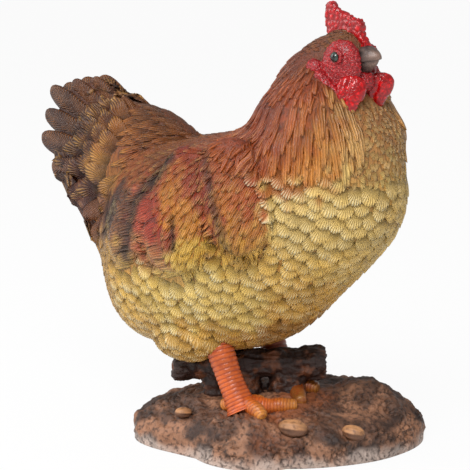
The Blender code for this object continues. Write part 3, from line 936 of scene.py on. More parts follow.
@dataclass(frozen=True)
class FeatherShape:
    """One carved feather: its root at the origin, +X to its tip and +Z out of the skin."""

    half_width: float
    length: float
    lift: float
    spread_along: float  # least distance to the next feather along it
    spread_across: float
    crown: float = 0.5
    sink: float = 0.8
    thickness: float = 1.4
    round_tip: float = 0.42
    narrow_root: float = 0.55
    taper: float = 0.0
    ridge: float = 0.0
    rows: int = 8
    columns: int = 6

    def mesh(self) -> bpy.types.Mesh:
        """Builds the feather with its UV map: place across it and along it.

        Returns:
            The closed feather.
        """
        bm = bmesh.new()
        bmesh.ops.create_grid(bm, x_segments=self.rows, y_segments=self.columns, size=1.0)
        layer = bm.loops.layers.uv.new(FEATHER_UV)
        flat = {vert: vert.co.copy() for vert in bm.verts}
        for vert, place in flat.items():
            along, across = (place.x + 1.0) / 2.0, place.y
            bow = 1.0 - self.round_tip * (1.0 - math.sqrt(max(0.0, 1.0 - across**2)))
            width = self.narrow_root + (1.0 - self.narrow_root) * math.sin(min(1.0, along / 0.6) * math.pi / 2)
            width *= 1.0 - self.taper * max(0.0, along - 0.45) / 0.55
            rise = (self.lift + self.sink) * along**1.15 - self.sink
            column = round((across + 1.0) / 2.0 * self.columns)
            ridge = self.ridge * along**2 * (1.0 if column % 2 else -1.0)
            vert.co = (
                along * bow * self.length + 1.2 * ridge,
                across * width * self.half_width,
                rise + self.crown * (1.0 - across**2) * min(1.0, along * 2.0) - 0.25 * self.lift * along**6 + ridge,
            )
        rim = [edge for edge in bm.edges if edge.is_boundary]
        pulled = bmesh.ops.extrude_edge_only(bm, edges=rim)["geom"]
        low = [g for g in pulled if isinstance(g, bmesh.types.BMVert)]
        bmesh.ops.translate(bm, verts=low, vec=(0.0, 0.0, -self.thickness - self.lift))
        bmesh.ops.scale(bm, verts=low, vec=(0.92, 0.86, 1.0))
        bmesh.ops.holes_fill(bm, edges=[e for e in bm.edges if e.is_boundary], sides=0)
        bmesh.ops.recalc_face_normals(bm, faces=bm.faces)
        for face in bm.faces:
            for loop in face.loops:
                x, y = loop.vert.co.x, loop.vert.co.y
                loop[layer].uv = (0.5 + 0.5 * y / self.half_width, min(1.0, max(0.0, x / self.length)))
        made = bpy.data.meshes.new("feather")
        bm.to_mesh(made)
        bm.free()
        return made


class Coat(Enum):
    """The kinds of feather, each with its shape."""

    SCALLOP = FeatherShape(5.4, 15.5, 1.5, 7.0, 7.0, crown=0.6, ridge=0.3, rows=7, columns=14)
    HACKLE = FeatherShape(
        3.8, 32.0, 1.2, 9.0, 5.2, crown=1.0, round_tip=0.2, narrow_root=0.8, taper=0.55, rows=12, columns=6
    )
    NAPE = FeatherShape(
        2.5, 17.0, 0.9, 5.0, 3.2, crown=0.8, round_tip=0.15, narrow_root=0.8, taper=0.45, rows=7, columns=4
    )
    THROAT = FeatherShape(2.4, 9.0, 0.5, 3.8, 3.0, crown=0.3, taper=0.3, rows=4, columns=4)
    SADDLE = FeatherShape(2.8, 16.0, 0.6, 5.2, 3.2, crown=0.5, sink=0.3, taper=0.3, rows=6, columns=4)
    WING = FeatherShape(2.7, 14.0, 0.5, 5.0, 3.2, crown=0.45, sink=0.3, taper=0.25, rows=5, columns=4)
    FLIGHT = FeatherShape(3.2, 20.0, 0.7, 6.0, 3.6, crown=0.6, sink=0.3, round_tip=0.3, rows=9, columns=4)
    TAIL = FeatherShape(
        6.4, 24.0, 1.4, 9.0, 7.4, crown=0.7, round_tip=0.4, ridge=0.3, rows=10, columns=14
    )
    FLUFF = FeatherShape(3.6, 15.0, 1.1, 6.0, 4.8, crown=0.4, round_tip=0.3, ridge=0.15, rows=6, columns=6)
    CAP = FeatherShape(1.8, 8.0, 0.4, 3.4, 2.4, crown=0.3, rows=4, columns=3)


@dataclass(frozen=True)
class Sprig:
    """Where one feather grows and the way it lies."""

    coat: Coat
    place: Vector
    normal: Vector
    way: Vector


@dataclass
class Plumage:
    """All the carved feathers on the hen's bare form."""

    form: HenForm
    palette: Palette
    seed: int = SEED
    tint: float = 0.09
    drift: float = 14.0  # how far the paint wanders off its own place
    drift_size: float = 7.0

    def __post_init__(self) -> None:
        """Makes the bare skin and its search trees."""
        self.skin = self.form.skin()
        self.places, self.normals = read_mesh(self.skin)
        bm = bmesh.new()
        bm.from_mesh(self.skin)
        self.surface = BVHTree.FromBMesh(bm)
        bm.free()
        self.reach = np.min([far for far, _ in self.form.on_pads(self.places)], axis=0)

    def coat_at(self, index: int) -> tuple[Coat, Vector] | None:
        """Picks the feather that grows at a vertex of the skin.

        Args:
            index: The vertex.

        Returns:
            The coat and the way it lies, or nothing on the face and round the legs.
        """
        form = self.form
        x, y, z = self.places[index]
        height = z - form.belly
        out = abs(y)
        side = math.copysign(1.0, y)
        if height < -6.0 or (height < 10.0 and math.hypot(x - form.leg_top_x - 3.0, out - form.leg_spread) < 9.5):
            return None
        local = form.head_place().inverted() @ Vector((x, y, z))
        if local.length < 23.0 and local.z > -14.0:
            if local.z > 7.0 + 0.5 * local.x and local.x < 18.0:
                return Coat.CAP, Vector((-1.0, 0.0, -0.35))
            if local.x > -5.0 - 0.3 * local.z:
                return None
        front = math.degrees(math.atan2(out, x - 72.0))
        neck_low = 116.0 + 0.38 * max(0.0, 45.0 - x)
        if height > neck_low + 2.0 and front < 42.0 + 0.25 * max(0.0, 150.0 - height):
            return Coat.THROAT, Vector((0.3 * math.sin(0.9 * height + 0.7 * out), side * 0.4 * math.sin(0.5 * height), -1.0))
        if height > neck_low + 12.0 and x > 6.0:
            way = Vector((0.55 * (x - 62.0) / 40.0, 0.35 * y / 40.0, -1.0))
            return Coat.HACKLE if neck_low + 24.0 < height < 166.0 else Coat.NAPE, way
        on_wing = self.reach[index] < 1.04 or (height > 98.0 and x < 52.0)
        if out > 28.0 and on_wing and height < neck_low + 12.0:
            if height < 106.0 and x < -11.0 + 0.68 * max(0.0, 88.0 - height):
                return Coat.FLIGHT, Vector((-1.0, 0.0, -0.35))
            return Coat.WING, Vector((-0.2 - 1.4 * max(0.0, self.normals[index][2]), 0.0, -1.0))
        back, up = x - form.tail_root[0], height - form.tail_root[1]
        if back < -20.0 and up > 0.72 * back:
            reach = math.hypot(back, up)
            return (Coat.TAIL, Vector((back, side * 4.0, up))) if reach < 63.0 and out > 3.0 else None
        if height > 104.0 and x < 46.0:
            return Coat.SADDLE, Vector((-1.0, side * 0.3, -0.35))
        if x < -58.0 or (x < -44.0 and height > 58.0):
            return Coat.FLUFF, Vector((-0.6, 0.0, -1.0))
        return Coat.SCALLOP, Vector((-0.42, 0.0, -1.0))

    def sow(self) -> list[Sprig]:
        """Scatters feathers all over the skin, as close as each kind allows.

        Returns:
            The feathers' places.
        """
        order = random.Random(self.seed)
        jitter = np.array([order.random() for _ in range(len(self.places))])
        tree = kdtree.KDTree(len(self.places))
        for i, place in enumerate(self.places):
            tree.insert(place, i)
        tree.balance()
        free = np.ones(len(self.places), bool)
        sprigs = []
        for i in np.argsort(jitter * 5.0 - self.places[:, 2]):
            picked = self.coat_at(i) if free[i] else None
            if picked is None:
                continue
            coat, way = picked
            normal = Vector(self.normals[i])
            way = way - normal * way.dot(normal)
            if way.length < 0.12:
                continue
            way.normalize()
            shape: FeatherShape = coat.value
            reach = max(shape.spread_along, shape.spread_across)
            near = np.array([found for _, found, _ in tree.find_range(self.places[i], reach)])
            step = self.places[near] - self.places[i]
            along = step @ np.array(way) / shape.spread_along
            across = step @ np.array(normal.cross(way)) / shape.spread_across
            taken = (along**2 + across**2 < 1.0) & (self.normals[near] @ np.array(normal) > 0.2)
            free[near[taken]] = False
            sprigs.append(Sprig(coat, Vector(self.places[i]), normal, way))
        return sprigs

    def grow(self, sprigs: list[Sprig], shape: FeatherShape) -> bpy.types.Mesh:
        """Lays copies of one feather on the skin.

        Args:
            sprigs: Where they grow.
            shape: The feather.

        Returns:
            All of them in one mesh, painted.
        """
        feather = shape.mesh()
        count = len(feather.vertices)
        bm = bmesh.new()
        for _ in sprigs:
            bm.from_mesh(feather)
        mesh = bpy.data.meshes.new("feathers")
        bm.to_mesh(mesh)
        bm.free()
        local, _ = read_mesh(feather)
        order = random.Random(self.seed + count)
        spots = np.empty((len(sprigs), count, 3))
        tints = np.empty((len(sprigs), count, 3))
        for k, sprig in enumerate(sprigs):
            turn = math.radians(order.uniform(-7.0, 7.0))
            side = sprig.normal.cross(sprig.way)
            way = sprig.way * math.cos(turn) + side * math.sin(turn)
            side = sprig.normal.cross(way)
            size = order.uniform(0.92, 1.08)
            tints[k] = 1.0 + order.uniform(-self.tint, self.tint)
            for j, (along, across, up) in enumerate(local):
                start = sprig.place + way * (along * size) + side * (across * size)
                spot, normal, _, _ = self.surface.find_nearest(start)
                spots[k, j] = spot + normal * up
        write_places(mesh, spots.reshape(-1, 3))
        spots = spots.reshape(-1, 3)
        drift = np.array([noise.noise_vector(Vector(spot) / self.drift_size) for spot in spots]) * self.drift
        colours = self.palette.at(spots + drift, self.form.belly) * tints.reshape(-1, 3)
        coat_with(mesh, self.shadowed(colours, spots))
        mesh.shade_smooth()
        bpy.data.meshes.remove(feather)
        return mesh

    def shadowed(self, colours: np.ndarray, places: np.ndarray) -> np.ndarray:
        """Paints shade into the grooves between the wing's layers.

        Args:
            colours: The paint.
            places: Where it lies.

        Returns:
            The paint with its painted shade.
        """
        patchy = np.array([noise.noise(Vector(place) / 5.0) for place in places])
        groove = ((0.9 + 0.3 * patchy) * self.form.wing_groove(places)).clip(0.0, 1.0)[:, None]
        # Painted shade: dark brown laid in the grooves, where the front layers cast shadow on the ones behind.
        return colours * (1.0 - groove) + np.array(linear("3a2012")) * groove

    def build(self) -> None:
        """Builds the skin and every coat of feathers as pieces."""
        sprigs = self.sow()
        fan, vane, strand = Barbs.FAN, Barbs.VANE, Barbs.STRAND
        pieces = {
            Coat.SCALLOP: (
                "breast_scallops",
                FeatherFinish("buff_scallops", fan, 7.0, "f8eec4", 0.8, 0.6, 0.85, 0.8),
                "plumage",
            ),
            Coat.HACKLE: (
                "neck_hackle",
                FeatherFinish("rust_hackle", strand, 2.0, "dca064", 0.4, 0.75, 0.35, 0.66, roughness=0.36),
                "hackle",
            ),
            Coat.NAPE: (
                "nape_hackle",
                FeatherFinish("rust_nape", strand, 1.2, "b87848", 0.3, 0.8, 0.5, 0.6, roughness=0.38),
                "hackle",
            ),
            Coat.THROAT: ("throat_down", FeatherFinish("tan_throat", fan, 5.0, "ecd6a4", 0.4, 0.85, 0.92, 0.88), "plumage"),
            Coat.SADDLE: (
                "saddle_feathers",
                FeatherFinish("rust_saddle", strand, 2.0, "d08a44", 0.4, 0.7, 0.6, 0.6),
                "hackle",
            ),
            Coat.WING: (
                "wing_coverts",
                FeatherFinish("wing_paint", strand, 2.0, "e8bc70", 0.45, 0.85, 0.75, 0.66),
                "hackle",
            ),
            Coat.FLIGHT: (
                "wing_flights",
                FeatherFinish("flight_paint", strand, 2.0, "c8905a", 0.35, 0.8, 0.6, 0.66),
                "hackle",
            ),
            Coat.TAIL: (
                "tail_coverts",
                FeatherFinish("tail_paint", fan, 7.0, "d8a458", 0.75, 0.42, 0.8, 0.6),
                "hackle",
            ),
            Coat.FLUFF: ("rump_fluff", FeatherFinish("rump_paint", fan, 7.0, "eed49a", 0.5, 0.55), "plumage"),
            Coat.CAP: ("head_cap", FeatherFinish("cap_paint", strand, 1.5, "b98a5a", 0.25, 0.75, 0.6), "hackle"),
        }
        for coat, (name, finish, slot) in pieces.items():
            grown = [s for s in sprigs if s.coat is coat]
            LOG.info("%s: %d feathers", name, len(grown))
            show(self.grow(grown, coat.value), name, finish.material())
        # Painted shade: the bare skin between the feathers is painted darker than the plumage over it.
        crevice = self.palette.at(self.places, self.form.belly) * np.array([0.7, 0.58, 0.5])
        coat_with(self.skin, self.shadowed(crevice, self.places))
        finish = PaintedFinish("crevice_shade", "3a1c0c", 900.0, 0.6, 900.0, 0.0016, 0.5, drawn=7.0)
        skin = show(self.skin, "under_skin", finish.material())
        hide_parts(NODE)


@dataclass(frozen=True)
class TailFan:
    """The long feathers that stick out past the tail's core, the same on both sides."""

    form: HenForm
    palette: Palette
    thickness: float = 7.0

    def build(self) -> None:
        """Builds the fan as one piece."""
        bm = bmesh.new()
        layer = bm.loops.layers.uv.new(FEATHER_UV)
        for side in (-1, 1):
            for one in self.form.tail:
                places = self.form.add_tail_feather(bm, one, side, self.thickness, 44)
                for face in {face for vert in places for face in vert.link_faces}:
                    for loop in face.loops:
                        loop[layer].uv = places[loop.vert]
        mesh = finished_mesh(bm, "tail_fan")
        places, _ = read_mesh(mesh)
        coat_with(mesh, self.palette.at(places, self.form.belly))
        finish = FeatherFinish("fan_paint", Barbs.VANE, 40.0, "b4743c", 0.5, 0.6, 0.6, 0.5, slimness=0.13)
        show(mesh, "tail_fan", finish.material())


# Head


@dataclass(frozen=True)
class Wattle:
    """One of the two red lobes under the beak, placed from the skull's centre."""

    ahead: float
    left: float
    drop: float
    turn: float  # degrees about the upright
    size: float


@dataclass(frozen=True)
class Head:
    """Face, ear lobes, comb, wattles, beak and eyes, in the head's own frame."""

    form: HenForm
    faces: tuple[tuple[Place, Place], ...] = (
        ((9.0, -12.2, -4.0), (12.0, 5.2, 16.0)), ((6.0, 10.8, -4.0), (9.5, 4.6, 14.5)),
    )  # place and radii on the right and on the left
    lobe: float = 5.5
    lobes: tuple[tuple[float, float, float, float], ...] = (
        (-5.5, 19.5, 5.0, 0.95), (1.0, 21.0, 10.0, 0.85), (4.5, 20.5, 14.0, 1.0), (8.0, 19.5, 17.0, 0.95),
        (11.5, 18.0, 18.5, 0.8),
    )
    wattle: tuple[float, float, float] = (8.2, 4.6, 12.5)
    wattles: tuple[Wattle, ...] = (Wattle(18.0, -14.0, 19.2, 40.0, 1.0), Wattle(18.0, 10.0, 18.0, 50.0, 0.9))
    comb_thickness: float = 5.0
    comb: tuple[tuple[float, float], ...] = (
        (17.5, 7.0), (17.3, 10.0), (14.0, 13.5), (12.8, 17.5), (13.0, 20.8), (11.0, 22.4), (8.0, 22.6),
        (5.0, 21.4), (3.4, 23.8), (0.5, 24.0), (-1.0, 24.8), (-3.5, 25.8), (-6.5, 25.4), (-9.0, 27.6),
        (-11.5, 30.0), (-13.8, 30.2), (-15.2, 28.2), (-16.0, 22.0), (-14.4, 16.0), (-12.0, 10.0),
        (-6.0, 5.0), (8.0, 3.0),
    )
    beak_root: tuple[float, float] = (6.5, -1.4)
    beak_length: float = 21.0
    beak_height: float = 18.0
    beak_width: float = 15.0
    beak_rise: float = 4.0
    eyes: tuple[Place, ...] = ((8.5, -16.8, 2.5), (6.0, 14.6, 2.5))
    eye_radius: float = 3.2

    def place(self, mesh: bpy.types.Mesh) -> bpy.types.Mesh:
        """Carries a mesh from the head's frame to the hen's, and returns it."""
        mesh.transform(self.form.head_place())
        return mesh

    def flesh(self, bm: bmesh.types.BMesh, name: str, size: float, depth: float, finish: FleshFinish) -> None:
        """Fuses red flesh, raises its lumps, paints shade into the gaps between them and shows it.

        Args:
            bm: The shapes, in the head's frame.
            name: The piece's name.
            size: Distance from lump to lump.
            depth: Height of the lumps.
            finish: Its paint.
        """
        mesh = fused(bm, name, 0.6, 2)
        places, _ = read_mesh(mesh)
        high = np.array([lumps(Vector(place), size) for place in places])
        push_out(mesh, lambda spot: depth * (lumps(spot, size) - 0.5))
        # Painted shade: darker in the gaps between the lumps.
        coat_with(mesh, (0.45 + 0.6 * high)[:, None] * np.ones(3))
        show(self.place(mesh), name, finish.material())

    def add_face(self) -> None:
        """Builds the red face on each side with the ear lobes and the ridge below the cheek."""
        bm = bmesh.new()
        for side, (place, radii), eye in zip((-1, 1), self.faces, self.eyes):
            add_ball(bm, place, radii, (side * 6.0, 0.0, -side * 22.0), power=2.2)
            for lobe_ahead, lobe_out, drop, size in self.lobes:
                lobe = (self.lobe * size, 4.2, self.lobe * size)
                add_ball(bm, (lobe_ahead, side * lobe_out, -drop), lobe)
            ring = self.eye_radius + 1.0
            for k in range(14):
                turn = math.tau * k / 14
                spot = (eye[0] + ring * math.cos(turn), eye[1], eye[2] + 0.8 * ring * math.sin(turn))
                add_ball(bm, spot, (1.3, 1.3, 1.3), segments=12)
        add_ball(bm, (15.0, 0.0, -12.0), (6.0, 8.0, 7.0))
        self.flesh(bm, "face", 1.9, 0.55, FleshFinish("face_red", "a00810", "d81820", 0.22, 0.001, 0.0003, 0.32, 0.15))

    def add_comb(self) -> None:
        """Builds the comb: an upright blade with blunt points and lumpy sides."""
        bm = bmesh.new()
        half = self.comb_thickness / 2
        blade = bm.faces.new([bm.verts.new((x, -half, z)) for x, z in self.comb])
        pulled = bmesh.ops.extrude_face_region(bm, geom=[blade])["geom"]
        far = [g for g in pulled if isinstance(g, bmesh.types.BMVert)]
        bmesh.ops.translate(bm, verts=far, vec=(0.0, 2 * half, 0.0))
        for x, z in self.comb[:16]:
            add_ball(bm, (x * 0.9, 0.0, z * 0.94), (2.3, half * 1.15, 2.3), segments=16)
        self.flesh(bm, "comb", 3.4, 0.9, FleshFinish("comb_red", "b0040c", "e60f18", 0.06, 0.0026, 0.0001, 0.26, 0.15))

    def add_wattles(self) -> None:
        """Builds the wattles, each with a bumpy fold down its middle."""
        bm = bmesh.new()
        for one in self.wattles:
            side = math.copysign(1.0, one.left)
            radii = [radius * one.size for radius in self.wattle]
            place = turned((one.ahead, one.left, -one.drop), radii, (side * 10.0, 14.0, one.turn))
            made = add_ball(bm, (0.0, 0.0, 0.0), (1.0, 1.0, 1.0), power=2.3, segments=48)
            for vert in made:
                fold = math.exp(-(((vert.co.x + 0.25) / 0.14) ** 2))
                vert.co.y *= 1.0 - 0.4 * fold + 0.2 * fold * math.sin(vert.co.z * 24.0)
                vert.co.x *= 1.0 + 0.25 * vert.co.z
                vert.co.x += 0.35 * (vert.co.z**2 - 0.5) * (1.0 if vert.co.z < 0.0 else 0.3)
            bmesh.ops.transform(bm, matrix=place, verts=made)
        finish = FleshFinish("wattle_red", "b8040a", "e80a12", 0.03, 0.0016, 0.0001, 0.24, 0.15)
        self.flesh(bm, "wattles", 2.6, 0.2, finish)

    def add_beak(self) -> None:
        """Builds the beak's two halves, which meet in a line that rises to the tip."""
        for upper, name in ((True, "beak_upper"), (False, "beak_lower")):
            bm = bmesh.new()
            made = add_ball(bm, (0.0, 0.0, 0.0), (1.0, 1.0, 1.0), segments=40)
            reach = self.beak_length if upper else self.beak_length - 1.6
            for vert in made:
                along = 0.5 * (1.0 + vert.co.x)
                full = 0.5 - 0.175 * along**2
                mouth = -0.3 + 0.22 * along
                up = max(vert.co.z, mouth + 0.02) if upper else min(vert.co.z, mouth)
                vert.co = (
                    self.beak_root[0] + along * reach,
                    vert.co.y * full * self.beak_width * (1.0 if upper else 0.9),
                    self.beak_root[1] + up * full * self.beak_height + along * self.beak_rise,
                )
            mesh = finished_mesh(bm, "beak")
            places, _ = read_mesh(mesh)
            tip = ease(17.0, 28.0, places[:, 0])
            # Painted shade: a dark spot on the upper half where the nostril's pit would be.
            nostril = np.exp(-(((places[:, 0] - 17.5) / 2.4) ** 2 + ((places[:, 2] - 4.8) / 1.4) ** 2))
            horn, pale = np.array(linear("362a28")), np.array(linear("846a5e"))
            streak = np.array([noise.fractal(Vector((x / 9, y / 2, z / 2)), 0.7, 2.0, 3) for x, y, z in places])
            colours = horn + (pale - horn) * np.clip(tip + 0.5 * streak, 0.0, 1.0)[:, None]
            coat_with(mesh, colours * (1.0 - 0.8 * nostril * upper)[:, None])
            finish = PaintedFinish(name + "_horn", "2e2220", 260.0, 0.3, 500.0, 0.0004, 0.42)
            show(self.place(mesh), name, finish.material())

    def add_eyes(self) -> None:
        """Builds the eyes: a glossy dark pupil in a grey-green iris with a dark rim."""
        bm = bmesh.new()
        for spot in self.eyes:
            add_ball(bm, spot, (self.eye_radius, 2.8, self.eye_radius), segments=40)
        mesh = finished_mesh(bm, "eyes")
        places, _ = read_mesh(mesh)
        middles = np.array([self.eyes[int(y > 0.0)] for y in places[:, 1]])
        away = np.hypot(*(places - middles)[:, (0, 2)].T) / self.eye_radius
        iris = ease(0.55, 0.64, away) * ease(0.95, 0.85, away)
        pupil, ring = np.array(linear("020504")), np.array(linear("36443c"))
        coat_with(mesh, pupil + (ring - pupil) * iris[:, None])
        finish = PaintedFinish("eye_gloss", "050505", 300.0, 0.2, 400.0, 0.00002, 0.12, 0.3)
        show(self.place(mesh), "eyes", finish.material())

    def build(self) -> None:
        """Builds every piece of the head."""
        self.add_face()
        self.add_comb()
        self.add_wattles()
        self.add_beak()
        self.add_eyes()


# Legs and base


@dataclass(frozen=True)
class Toe:
    """One toe: its direction inwards from straight ahead, in degrees, and its length."""

    turn: float
    length: float


@dataclass(frozen=True)
class RockBase:
    """The slab of rock, the mound of soil on it, the log and what lies on the soil."""

    form: HenForm
    thickness: float = 19.0
    mound: float = 12.0
    skew: float = 35.0
    centre: tuple[float, float] = (19.5, 18.5)
    rim: tuple[float, ...] = (89.0, 84.0, 83.0, 70.0, 69.0, 82.0, 88.0, 69.0, 62.5, 62.5, 67.0, 78.0)
    foot_mound: tuple[float, float] = (34.0, 25.0)
    far_hill: tuple[float, float, float, float, float] = (60.0, 50.0, 38.0, 32.0, 36.0)
    foot_x: float = 15.0
    log_radius: float = 10.5
    log_length: float = 92.0
    log_turn: float = 36.0
    log_middle: tuple[float, float] = (7.0, 5.0)

    def rim_distance(self, angle: float) -> float:
        """Distance of the rock's edge from its centre, at an angle in its own frame."""
        count = len(self.rim)
        place = (angle / math.tau) % 1.0 * count
        i = int(place)
        return spline_value([self.rim[(i + k) % count] for k in (-1, 0, 1, 2)], (1.0 + place - i) / 3.0)

    def matrix(self) -> Matrix:
        """The rock's own frame."""
        return Matrix.Translation((*self.centre, 0.0)) @ Matrix.Rotation(math.radians(self.skew), 4, "Z")

    def height(self, x: float, y: float) -> float:
        """Height of the soil at a place in the hen's frame."""
        local = self.matrix().inverted() @ Vector((x, y, 0.0))
        share = min(1.0, math.hypot(local.x, local.y) / self.rim_distance(math.atan2(local.y, local.x)))
        heights = [(self.thickness + self.mound * (1.0 - share**4)) * (1.0 - share**2) ** 0.1]
        for ahead, left, long, wide, tall in self.hills():
            away = ((x - ahead) / long) ** 2 + ((y - left) / wide) ** 2
            heights.append(tall * math.sqrt(max(0.0, 1.0 - away)))
        return max(heights)

    def hills(self) -> list[tuple[float, float, float, float, float]]:
        """The hills of soil: middle ahead, middle to the left, and half sizes."""
        feet = [
            (self.foot_x + 10.0, side * self.form.leg_spread, *self.foot_mound, self.form.ground)
            for side in (-1, 1)
        ]
        return [*feet, self.far_hill]

    def add_rock(self) -> None:
        """Builds the slab with its mound and cragged surface."""
        bm = bmesh.new()
        made = bmesh.ops.create_uvsphere(bm, u_segments=96, v_segments=48, radius=1.0)
        for vert in made["verts"]:
            edge = self.rim_distance(math.atan2(vert.co.y, vert.co.x))
            share = min(1.0, math.hypot(vert.co.x, vert.co.y))
            dome = self.thickness + self.mound * (1.0 - share**4)
            full = abs(vert.co.z) ** 0.2
            vert.co = (vert.co.x * edge, vert.co.y * edge, full * dome if vert.co.z > 0 else -full * 6.0)
        bmesh.ops.transform(bm, matrix=self.matrix(), verts=made["verts"])
        for ahead, left, *radii in self.hills():
            add_ball(bm, (ahead, left, 0.0), radii)
        mesh = fused(bm, "rock", 1.05, 3)
        push_out(mesh, self.crag)
        mesh = self.cut_flat(mesh)
        places, _ = read_mesh(mesh)
        # Painted shade: the pits and cracks are painted darker.
        pits = np.array([self.pit(Vector(place)) for place in places])
        coat_with(mesh, self.rock_paint(places) * (1.0 - 0.75 * pits)[:, None])
        finish = PaintedFinish("rock_paint", "24140e", 420.0, 0.7, 420.0, 0.0014, 0.55)
        show(mesh, "rock_base", finish.material())

    def crag(self, spot: Vector) -> float:
        """How far the rock's surface swells or pits at a place."""
        if spot.z < 1.5:
            return 0.0
        rough = noise.fractal(spot / 13.0, 0.8, 2.1, 4) * 2.4
        return (rough - 2.4 * self.pit(spot)) * min(1.0, (spot.z - 1.5) / 4.0)

    def pit(self, spot: Vector) -> float:
        """Depth of the small pits and cracks in the rock at a place, from 0 to 1."""
        crack = 1.0 - min(1.0, abs(noise.noise(spot / 4.2)) * 5.0)
        patch = ease(-0.15, 0.25, noise.noise(spot / 17.0 + Vector((5.0, 0.0, 0.0))))
        return float(crack * patch)

    def cut_flat(self, mesh: bpy.types.Mesh) -> bpy.types.Mesh:
        """Cuts the underside level and returns the new mesh."""
        bm = bmesh.new()
        bm.from_mesh(mesh)
        bpy.data.meshes.remove(mesh)
        cut = bmesh.ops.bisect_plane(
            bm, geom=bm.verts[:] + bm.edges[:] + bm.faces[:], plane_co=(0, 0, 0.05), plane_no=(0, 0, -1),
            clear_outer=True,
        )
        edges = [g for g in cut["geom_cut"] if isinstance(g, bmesh.types.BMEdge)]
        bmesh.ops.edgeloop_fill(bm, edges=edges)
        return finished_mesh(bm, "rock")

    def rock_paint(self, places: np.ndarray) -> np.ndarray:
        """The rock's paint: brown on top, tan on the flanks and pale at the bottom rim."""
        brown, tan, pale = (np.array(linear(c)) for c in ("60402e", "9c6e52", "c8b4a8"))
        clay, black = np.array(linear("b0663c")), np.array(linear("2c1c16"))
        blotch = np.array([noise.fractal(Vector(p) / 22.0, 0.7, 2.0, 3) for p in places])
        colours = brown + (tan - brown) * ease(0.0, 0.55, blotch + ease(22.0, 8.0, places[:, 2]) * 0.5)[:, None]
        colours += (black - colours) * (0.75 * ease(-0.1, -0.5, blotch))[:, None]
        near = np.hypot(places[:, 0] - 36.0, np.abs(places[:, 1]) - 14.0)
        colours += (clay - colours) * (0.55 * ease(34.0, 6.0, near + 16.0 * blotch))[:, None]
        return colours + (pale - colours) * (0.75 * ease(9.0, 1.0, places[:, 2] + 5.0 * blotch))[:, None]

    def add_log(self) -> None:
        """Builds the broken log under the belly, on its stubs of rock."""
        bm = bmesh.new()
        turn = Matrix.Rotation(math.radians(self.log_turn), 4, "Z")
        along = turn @ Vector((1.0, 0.0, 0.0))
        middle = Vector((*self.log_middle, self.form.belly - self.log_radius - 1.0))
        ends = [middle + along * self.log_length * s for s in (-0.5, -0.17, 0.17, 0.5)]
        add_rod(bm, ends, lambda share, angle: self.log_radius * self.log_end(share), 36)
        for share, radius in ((-0.22, 7.0), (-0.05, 17.0), (0.25, 15.0)):
            foot = middle + along * self.log_length * share
            low = Vector((foot.x, foot.y, self.form.ground - 12.0))
            width = self.log_radius * 0.8
            add_rod(bm, [foot, foot.lerp(low, 0.5), low], lambda s, a, w=width, r=radius: w + (r - w) * s, 12)
        mesh = fused(self.closed(bm), "log", 1.0, 2)
        push_out(mesh, self.bark)
        places, _ = read_mesh(mesh)
        dark, worn = np.array(linear("341e16")), np.array(linear("7c4a2e"))
        wear = np.array([noise.fractal(Vector(p) / 9.0, 0.7, 2.0, 3) for p in places])
        coat_with(mesh, dark + (worn - dark) * (0.8 * ease(0.05, 0.6, wear))[:, None])
        finish = PaintedFinish("log_paint", "1c0e08", 300.0, 0.5, 420.0, 0.0012, 0.48)
        show(mesh, "log", finish.material())

    def closed(self, bm: bmesh.types.BMesh) -> bmesh.types.BMesh:
        """Closes the ends of the rods in a bmesh and returns it."""
        bmesh.ops.holes_fill(bm, edges=[edge for edge in bm.edges if edge.is_boundary], sides=0)
        return bm

    def log_end(self, share: float) -> float:
        """The log's girth along its length, as a share of its radius."""
        return 0.9 + 0.12 * math.sin(share * 9.0) * math.sin(share * 23.0)

    def bark(self, spot: Vector) -> float:
        """How far the bark stands out at a place, in ridges along the log."""
        local = Matrix.Rotation(math.radians(-self.log_turn), 4, "Z") @ spot
        ridged = Vector((local.x / 16.0, local.y / 3.2, local.z / 3.2))
        return noise.fractal(ridged, 0.8, 2.0, 3) * 1.5 + noise.fractal(spot / 8.0, 0.8, 2.0, 3) * 1.0

    def add_seeds(self) -> None:
        """Builds the two striped seeds and the pebbles that lie half sunk in the soil."""
        bm = bmesh.new()
        spots = ((57.0, -22.0, 7.0, 30.0), (84.0, 2.0, 5.8, 12.0), (-14.0, -34.0, 4.4, 60.0))
        for x, y, size, turn in spots:
            made = add_ball(bm, (0.0, 0.0, 0.0), (1.0, 1.0, 1.0), segments=48)
            for vert in made:
                stripe = math.sin(math.atan2(vert.co.z, vert.co.y) * 9.0)
                vert.co *= 1.0 + 0.05 * stripe * (1.0 - vert.co.x**2)
            spot = (x, y, self.height(x, y) + 0.25 * size)
            bmesh.ops.transform(bm, matrix=turned(spot, (size * 1.25, size * 0.9, size * 0.75), (0, 8, turn)), verts=made)
        mesh = finished_mesh(bm, "seeds")
        places, normals = read_mesh(mesh)
        # Painted light and shade: paler where the surface faces up, darker underneath.
        lit_husk, shade = np.array(linear("b58258")), np.array(linear("6a4630"))
        coat_with(mesh, shade + (lit_husk - shade) * ease(-0.1, 0.7, normals[:, 2])[:, None])
        finish = PaintedFinish("seed_paint", "4a2c1c", 420.0, 0.5, 900.0, 0.0003, 0.5)
        show(mesh, "seeds", finish.material())

    def build(self) -> None:
        """Builds every piece of the base."""
        self.add_rock()
        self.add_log()
        self.add_seeds()


